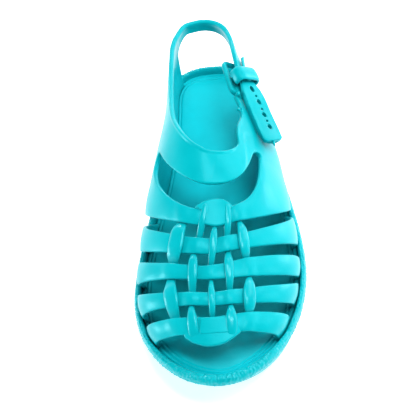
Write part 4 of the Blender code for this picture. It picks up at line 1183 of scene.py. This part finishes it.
def build_frame(material):
    turn = math.radians(FRAME_TURN)
    path = rounded_rectangle(FRAME_ALONG[0] - 1.4, FRAME_ALONG[1], *FRAME_ACROSS, 2.8)
    path = path @ np.array([[math.cos(turn), math.sin(turn)], [-math.sin(turn), math.cos(turn)]])
    d = unit(np.roll(path, -1, 0) - np.roll(path, 1, 0))
    normal = np.stack([d[:, 1], -d[:, 0]], 1)
    section = rounded_section(14, 2.5) * FRAME_BAR * 0.63
    local = np.concatenate([
        path[:, None, :] + normal[:, None, :] * section[None, :, :1],
        np.broadcast_to(FRAME_UP + section[None, :, 1:], (len(path), len(section), 1))], -1)
    rows, count = len(path), len(section)
    faces = []
    for r in range(rows):
        for k in range(count):
            a, b = r * count + k, r * count + (k + 1) % count
            c, e = ((r + 1) % rows) * count + (k + 1) % count, ((r + 1) % rows) * count + k
            faces.append((a, b, c, e))
    return make_piece("frame_ring", in_buckle(local.reshape(-1, 3)), faces, material,
                      "buckle_frame")


def build_sleeve(material):
    """End of the outer quarter, wrapped round the lower bar of the frame."""
    turn = math.radians(FRAME_TURN)
    spin = np.array([[math.cos(turn), math.sin(turn)], [-math.sin(turn), math.cos(turn)]])
    a0, a1, w0, w1 = -4.0, FRAME_ALONG[1] + 6.0, FRAME_ACROSS[0] + 1.4, FRAME_ACROSS[1] - 1.4
    rows = []
    for k in range(9):
        angle = math.pi * (k / 8 - 0.5)
        inset = 1.6 * (1 - math.cos(angle))
        loop = rounded_rectangle(a0 + inset, a1 - inset, w0 + inset, w1 - inset, 2.6) @ spin
        rows.append(np.column_stack([loop, np.full(len(loop), FRAME_UP + 2.3 * math.sin(angle))]))
    count = len(rows[0])
    pts = np.concatenate(rows + [rows[0].mean(0)[None], rows[-1].mean(0)[None]])
    faces = tube_faces(len(rows), count, close_ends=False)
    end, total = (len(rows) - 1) * count, len(rows) * count
    for k in range(count):
        faces.append(((k + 1) % count, k, total))
        faces.append((end + k, end + (k + 1) % count, total + 1))
    return make_piece("quarter_sleeve", in_buckle(pts), faces, material)


KEEPER_TURN = 7.0         # degrees in the plane of the strap


def build_keeper(material):
    """Band bent over the strap, its feet on the frame's side bars."""
    w, r = 2.3, 3.2
    a0, a1, z1 = KEEPER_ACROSS[0] + 0.5 + w / 2, KEEPER_ACROSS[1] - w / 2, KEEPER_UP[1] - 0.8 - w / 2
    path = [(a0, z) for z in np.linspace(-2.9, z1 - r, 5)]
    for centre, start in (((a0 + r, z1 - r), 180), ((a1 - r, z1 - r), 90)):
        path += [(centre[0] + r * math.cos(math.radians(start - 90 * k / 12)),
                  centre[1] + r * math.sin(math.radians(start - 90 * k / 12))) for k in range(13)]
        if start == 180:
            path += [(x, z1) for x in np.linspace(a0 + r, a1 - r, 12)[1:-1]]
    path += [(a1, z) for z in np.linspace(z1 - r, KEEPER_UP[0] + 0.6, 6)]
    path = np.array(path)
    path = path[np.concatenate([[True], np.linalg.norm(np.diff(path, axis=0), axis=1) > 1e-6])]
    d = unit(np.gradient(path, axis=0))
    normal = np.stack([-d[:, 1], d[:, 0]], 1)
    section = rounded_section(26, 3.4) * [KEEPER_HALF_WIDTH + 0.4, w / 2]
    crown = 0.4 * np.clip(1 - (section[:, 0] / KEEPER_HALF_WIDTH) ** 2, 0, None) * (section[:, 1] > 0)
    turn = math.radians(KEEPER_TURN)
    local = np.zeros((len(path), len(section), 3))
    local[..., 0] = section[None, :, 0]
    local[..., 1:] = path[:, None] + normal[:, None] * (section[:, 1] + crown)[None, :, None]
    a, w = local[..., 0].copy(), local[..., 1].copy()
    local[..., 0] = a * math.cos(turn) - w * math.sin(turn)
    local[..., 1] = a * math.sin(turn) + w * math.cos(turn)
    return make_piece("keeper_loop", in_buckle(local.reshape(-1, 3)),
                      tube_faces(len(path), len(section)), material, "keeper")


def build_prong(material):
    c0, along, across, out = buckle_axes()
    section = rounded_section(14, 2.4)
    rows = []
    n = 26
    for k in range(n):
        t = k / (n - 1)
        d = PRONG_ALONG[0] + (PRONG_ALONG[1] - 2.0 - PRONG_ALONG[0]) * t
        c, w, o, half = sling_at(sling_place((c0 + along * d)[1]))
        wide = (1.7 - 0.5 * t ** 1.5) * math.sqrt(max(0.05, 1 - max(0, (t - 0.9) / 0.1) ** 2))
        high = PRONG_THICK * (0.7 + 0.8 * t * t)
        lift = GAP + 0.15 + 0.9 * t ** 3 + high / 2
        for a, b in section:
            rows.append(c + w * (a * wide) + o * (lift + b * high / 2))
    return make_piece("prong_tongue", np.array(rows), tube_faces(n, len(section)), material,
                      "buckle_prong")


FLASH = ((17.6, 165.5, 59.6, 0.9), (16.9, 162.7, 60.3, 1.1))   # x, y, z, radius


def build_flash(material):
    """Small beads of flash left on the border of the outer quarter."""
    points, faces = [], []
    rings, count = 9, 14
    for x, y, z, radius in FLASH:
        first = len(points)
        for k in range(rings):
            a = math.pi * (0.02 + 0.96 * k / (rings - 1))
            for j in range(count):
                b = 2 * math.pi * j / count
                bumpy = radius * (1 + 0.12 * math.sin(3 * b + x) * math.sin(a))
                points.append((x + bumpy * math.sin(a) * math.cos(b), y + 1.25 * bumpy * math.sin(a) * math.sin(b),
                               z + bumpy * math.cos(a)))
        ball = facing_out(np.array(points[first:]) - (x, y, z), tube_faces(rings, count))
        faces += [tuple(first + v for v in f) for f in ball]
    return make_piece("edge_flash", np.array(points), faces, material)


def build_nub(material):
    """Short sprue stub left on the end of the tail."""
    c, across, out, half = sling_at(len(SLING) - 1.0)
    along = np.cross(across, out)
    c = c + out * (TAIL_LIFT - WALL / 2) - across * 0.2 + along * TAIL_LONGER
    section = rounded_section(12, 2.0)
    rows = []
    for t, r in ((-1.0, 0.9), (0.3, 0.85), (1.2, 0.7), (1.9, 0.62), (2.3, 0.45), (2.45, 0.15)):
        for a, b in section:
            rows.append(c + along * t - out * 0.25 * max(t, 0) + across * a * r + out * b * r)
    return make_piece("tail_nub", np.array(rows), tube_faces(6, 12), material)


# ------------------------------------------------------------------ materials
def pvc(name, light, dark, rough, patch, grain, grain_depth, coat, painted_recess_shade, painted_cage_shade=None):
    """Moulded PVC: cloudy colour, painted shade that darkens the base colour in recesses and between parts
    (ambient occlusion), an optional painted shade band along y, uneven gloss and a fine grain.
    """
    mat = bpy.data.materials.new(name)
    mat.use_nodes = True
    nodes, links = mat.node_tree.nodes, mat.node_tree.links
    shader = nodes["Principled BSDF"]
    where = nodes.new("ShaderNodeTexCoord")
    clouds = nodes.new("ShaderNodeTexNoise")
    clouds.inputs["Scale"].default_value = patch
    clouds.inputs["Detail"].default_value = 4.0
    clouds.inputs["Roughness"].default_value = 0.55
    links.new(where.outputs["Object"], clouds.inputs["Vector"])
    tint = nodes.new("ShaderNodeValToRGB")
    tint.color_ramp.elements[0].position, tint.color_ramp.elements[0].color = 0.3, (*dark, 1)
    tint.color_ramp.elements[1].position, tint.color_ramp.elements[1].color = 0.7, (*light, 1)
    links.new(clouds.outputs["Fac"], tint.inputs["Fac"])
    # painted shade: ambient occlusion darkens the base colour in recesses, creases and between parts; the argument
    # after coat sets how dark it gets
    near = nodes.new("ShaderNodeAmbientOcclusion")
    near.samples = 8
    near.inputs["Distance"].default_value = 0.03
    depth = nodes.new("ShaderNodeMapRange")
    depth.inputs["From Min"].default_value, depth.inputs["From Max"].default_value = 0.05, 0.75
    depth.inputs["To Min"].default_value, depth.inputs["To Max"].default_value = painted_recess_shade, 1.0
    links.new(near.outputs["AO"], depth.inputs["Value"])
    shade = nodes.new("ShaderNodeMix")
    shade.data_type, shade.blend_type = "RGBA", "MULTIPLY"
    shade.inputs["Factor"].default_value = 1.0
    links.new(tint.outputs["Color"], shade.inputs["A"])
    links.new(depth.outputs["Result"], shade.inputs["B"])
    base = shade.outputs["Result"]
    # painted shade: a band along y (the foot bed under the straps and the instep band) is darkened by tone, fading
    # in from begin to full and out again from still to end
    if painted_cage_shade:
        (begin, full, still, end), tone = painted_cage_shade
        axes = nodes.new("ShaderNodeSeparateXYZ")
        links.new(where.outputs["Object"], axes.inputs["Vector"])
        for a, b, low_tone, high_tone in ((begin, full, 1.0, tone), (still, end, 1.0, 1.0 / tone)):
            step = nodes.new("ShaderNodeMapRange")
            step.interpolation_type = "SMOOTHSTEP"
            step.inputs["From Min"].default_value, step.inputs["From Max"].default_value = a, b
            step.inputs["To Min"].default_value, step.inputs["To Max"].default_value = low_tone, high_tone
            links.new(axes.outputs["Y"], step.inputs["Value"])
            under_cage_shade = nodes.new("ShaderNodeMix")
            under_cage_shade.data_type, under_cage_shade.blend_type = "RGBA", "MULTIPLY"
            under_cage_shade.inputs["Factor"].default_value = 1.0
            links.new(base, under_cage_shade.inputs["A"])
            links.new(step.outputs["Result"], under_cage_shade.inputs["B"])
            base = under_cage_shade.outputs["Result"]
    links.new(base, shader.inputs["Base Color"])
    gloss = nodes.new("ShaderNodeMapRange")
    gloss.inputs["From Min"].default_value, gloss.inputs["From Max"].default_value = 0.3, 0.7
    gloss.inputs["To Min"].default_value, gloss.inputs["To Max"].default_value = rough[0], rough[1]
    links.new(clouds.outputs["Fac"], gloss.inputs["Value"])
    links.new(gloss.outputs["Result"], shader.inputs["Roughness"])
    fine = nodes.new("ShaderNodeTexNoise")
    fine.inputs["Scale"].default_value = grain
    fine.inputs["Detail"].default_value = 3.0
    links.new(where.outputs["Object"], fine.inputs["Vector"])
    soft = nodes.new("ShaderNodeTexNoise")
    soft.inputs["Scale"].default_value = 90.0
    soft.inputs["Detail"].default_value = 2.0
    links.new(where.outputs["Object"], soft.inputs["Vector"])
    low = nodes.new("ShaderNodeBump")
    low.inputs["Strength"].default_value = 0.12
    low.inputs["Distance"].default_value = 0.0012
    links.new(soft.outputs["Fac"], low.inputs["Height"])
    bump = nodes.new("ShaderNodeBump")
    bump.inputs["Strength"].default_value = 0.5
    bump.inputs["Distance"].default_value = grain_depth
    links.new(fine.outputs["Fac"], bump.inputs["Height"])
    links.new(low.outputs["Normal"], bump.inputs["Normal"])
    links.new(bump.outputs["Normal"], shader.inputs["Normal"])
    shader.inputs["IOR"].default_value = 1.5
    shader.inputs["Coat Weight"].default_value = coat
    shader.inputs["Coat Roughness"].default_value = 0.15
    shader.inputs["Specular Tint"].default_value = (0.05, 0.65, 0.75, 1)
    shader.inputs["Subsurface Weight"].default_value = 0.0
    shader.inputs["Subsurface Radius"].default_value = (0.15, 1.0, 1.0)
    shader.inputs["Subsurface Scale"].default_value = 0.0018
    return mat


def build_stage():
    mesh = bpy.data.meshes.new("floor")
    mesh.from_pydata([(-3, -3, 0), (3, -3, 0), (3, 3, 0), (-3, 3, 0)], [], [(0, 1, 2, 3)])
    mat = bpy.data.materials.new("floor_paper")
    mat.use_nodes = True
    nodes, links = mat.node_tree.nodes, mat.node_tree.links
    shader = nodes["Principled BSDF"]
    paper = nodes.new("ShaderNodeTexNoise")
    paper.inputs["Scale"].default_value = 40.0
    tone = nodes.new("ShaderNodeValToRGB")
    tone.color_ramp.elements[0].color = (0.90, 0.90, 0.90, 1)
    tone.color_ramp.elements[1].color = (0.93, 0.93, 0.93, 1)
    links.new(paper.outputs["Fac"], tone.inputs["Fac"])
    links.new(tone.outputs["Color"], shader.inputs["Base Color"])
    shader.inputs["Roughness"].default_value = 0.9
    shader.inputs["Specular IOR Level"].default_value = 0.1
    shader.inputs["Emission Color"].default_value = (1, 1, 1, 1)
    shader.inputs["Emission Strength"].default_value = 0.66
    mesh.materials.append(mat)
    floor = bpy.data.objects.new("floor", mesh)
    floor.location.z = -0.0002
    bpy.context.scene.collection.objects.link(floor)

    # pale wall far round the floor, so that low views have no dark horizon
    turn = np.linspace(0, 2 * math.pi, 96, endpoint=False)
    ring = [(2.9 * math.cos(a), 2.9 * math.sin(a), z) for z in (-0.0002, 1.0) for a in turn]
    wall_mesh = bpy.data.meshes.new("backdrop")
    wall_mesh.from_pydata(ring, [], [((k + 1) % 96, k, 96 + k, 96 + (k + 1) % 96) for k in range(96)])
    paint = mat.copy()
    paint.name = "backdrop_paint"
    paint.node_tree.nodes["Principled BSDF"].inputs["Emission Strength"].default_value = 0.3
    wall_mesh.materials.append(paint)
    wall = bpy.data.objects.new("backdrop", wall_mesh)
    bpy.context.scene.collection.objects.link(wall)

    world = bpy.data.worlds.new("studio")
    bpy.context.scene.world = world
    world.use_nodes = True
    back = world.node_tree.nodes["Background"]
    back.inputs["Color"].default_value = (1.0, 1.0, 1.0, 1)
    back.inputs["Strength"].default_value = WORLD
    for name, at, size, power in LIGHTS:
        data = bpy.data.lights.new(name, "AREA")
        data.shape, data.size, data.size_y = "RECTANGLE", size[0], size[1]
        data.energy = power
        light = bpy.data.objects.new(name, data)
        light.location = at
        light.rotation_mode = "QUATERNION"
        light.rotation_quaternion = (Vector((0, 0, 0.03)) - Vector(at)).to_track_quat("-Z", "Y")
        bpy.context.scene.collection.objects.link(light)


WORLD = 0.02
LIGHTS = (
    ("key_right_front", (0.415, -0.239, 1.316), (0.4, 0.4), 7.4),
    ("overhead", (0.0, 0.05, 1.40), (0.4, 0.4), 6.8),
    ("left_low", (-1.37, 0.0, 0.29), (0.4, 0.4), 8.6),
    ("right_low", (1.19, 0.69, 0.29), (0.4, 0.4), 4.2),
    ("rear_right", (0.61, 1.05, 0.70), (0.4, 0.4), 2.6),
    ("right", (1.21, 0.0, 0.70), (0.4, 0.4), 3.0),
    ("rear_high", (0.20, 0.85, 1.10), (0.4, 0.4), 2.2),
    ("right_high", (0.82, 0.44, 1.02), (0.5, 0.5), 3.4),
    ("rear_low", (-0.12, 1.31, 0.48), (0.3, 0.3), 1.8),
    ("rear_spark", (-0.45, 1.25, 0.60), (0.08, 0.08), 1.6),
)


def build_camera():
    az, el, roll = math.radians(7.2), math.radians(49.1), math.radians(-9.64)
    dist, f = 511.31, 850.35
    back = np.array([math.sin(az) * math.cos(el), -math.cos(az) * math.cos(el), math.sin(el)])
    at = np.array([-4.92, 120.34, 20.0]) + back * dist
    right = unit(np.cross(-back, [0, 0, 1.0]))
    up = np.cross(right, -back)
    right, up = (right * math.cos(roll) + up * math.sin(roll),
                 -right * math.sin(roll) + up * math.cos(roll))
    data = bpy.data.cameras.new("photo_camera")
    data.sensor_width = 36.0
    data.lens = f / 420.0 * 36.0
    data.clip_start, data.clip_end = 0.01, 50.0
    camera = bpy.data.objects.new("photo_camera", data)
    at = place(at)
    camera.matrix_world = Matrix((
        (right[0], up[0], back[0], at[0]), (right[1], up[1], back[1], at[1]),
        (right[2], up[2], back[2], at[2]), (0, 0, 0, 1)))
    bpy.context.scene.collection.objects.link(camera)
    bpy.context.scene.camera = camera


def main():
    bright, deep = (0.001, 0.51, 0.575), (0.0006, 0.465, 0.53)
    # the number after coat in each pvc() call sets how dark the painted shade in recesses gets
    cage = pvc("cage_pvc", bright, deep, (0.30, 0.40), 45.0, 900.0, 0.00006, 0.025, 0.55)
    build_upper(cage)
    build_strips(pvc("strip_pvc", bright, deep, (0.26, 0.36), 45.0, 900.0, 0.00006, 0.22, 0.5))
    build_tabs(cage)
    build_nub(cage)
    build_sleeve(cage)
    build_flash(pvc("flash_pvc", bright, deep, (0.30, 0.40), 45.0, 900.0, 0.00006, 0.1, 0.95))
    build_sole(pvc("outsole_pvc", bright, deep, (0.34, 0.46), 60.0, 1200.0, 0.00008, 0.25, 0.85))
    # painted shade: the foot bed is darkened along y under the straps and the instep band
    build_insole(pvc("bed_pvc", (0.001, 0.57, 0.65), (0.0006, 0.52, 0.60), (0.42, 0.52), 70.0, 700.0, 0.0001, 0.015, 0.8,
                     ((-0.088, -0.070, -0.012, 0.006), 0.52)))
    trim = pvc("buckle_pvc", bright, deep, (0.28, 0.38), 80.0, 900.0, 0.00006, 0.04, 0.6)
    build_frame(trim)
    build_keeper(trim)
    build_prong(trim)
    build_stage()
    build_camera()
    view = bpy.context.scene.view_settings
    view.view_transform, view.look, view.exposure, view.gamma = "Standard", "None", 0.0, 1.0
    bpy.context.view_layer.update()


main()
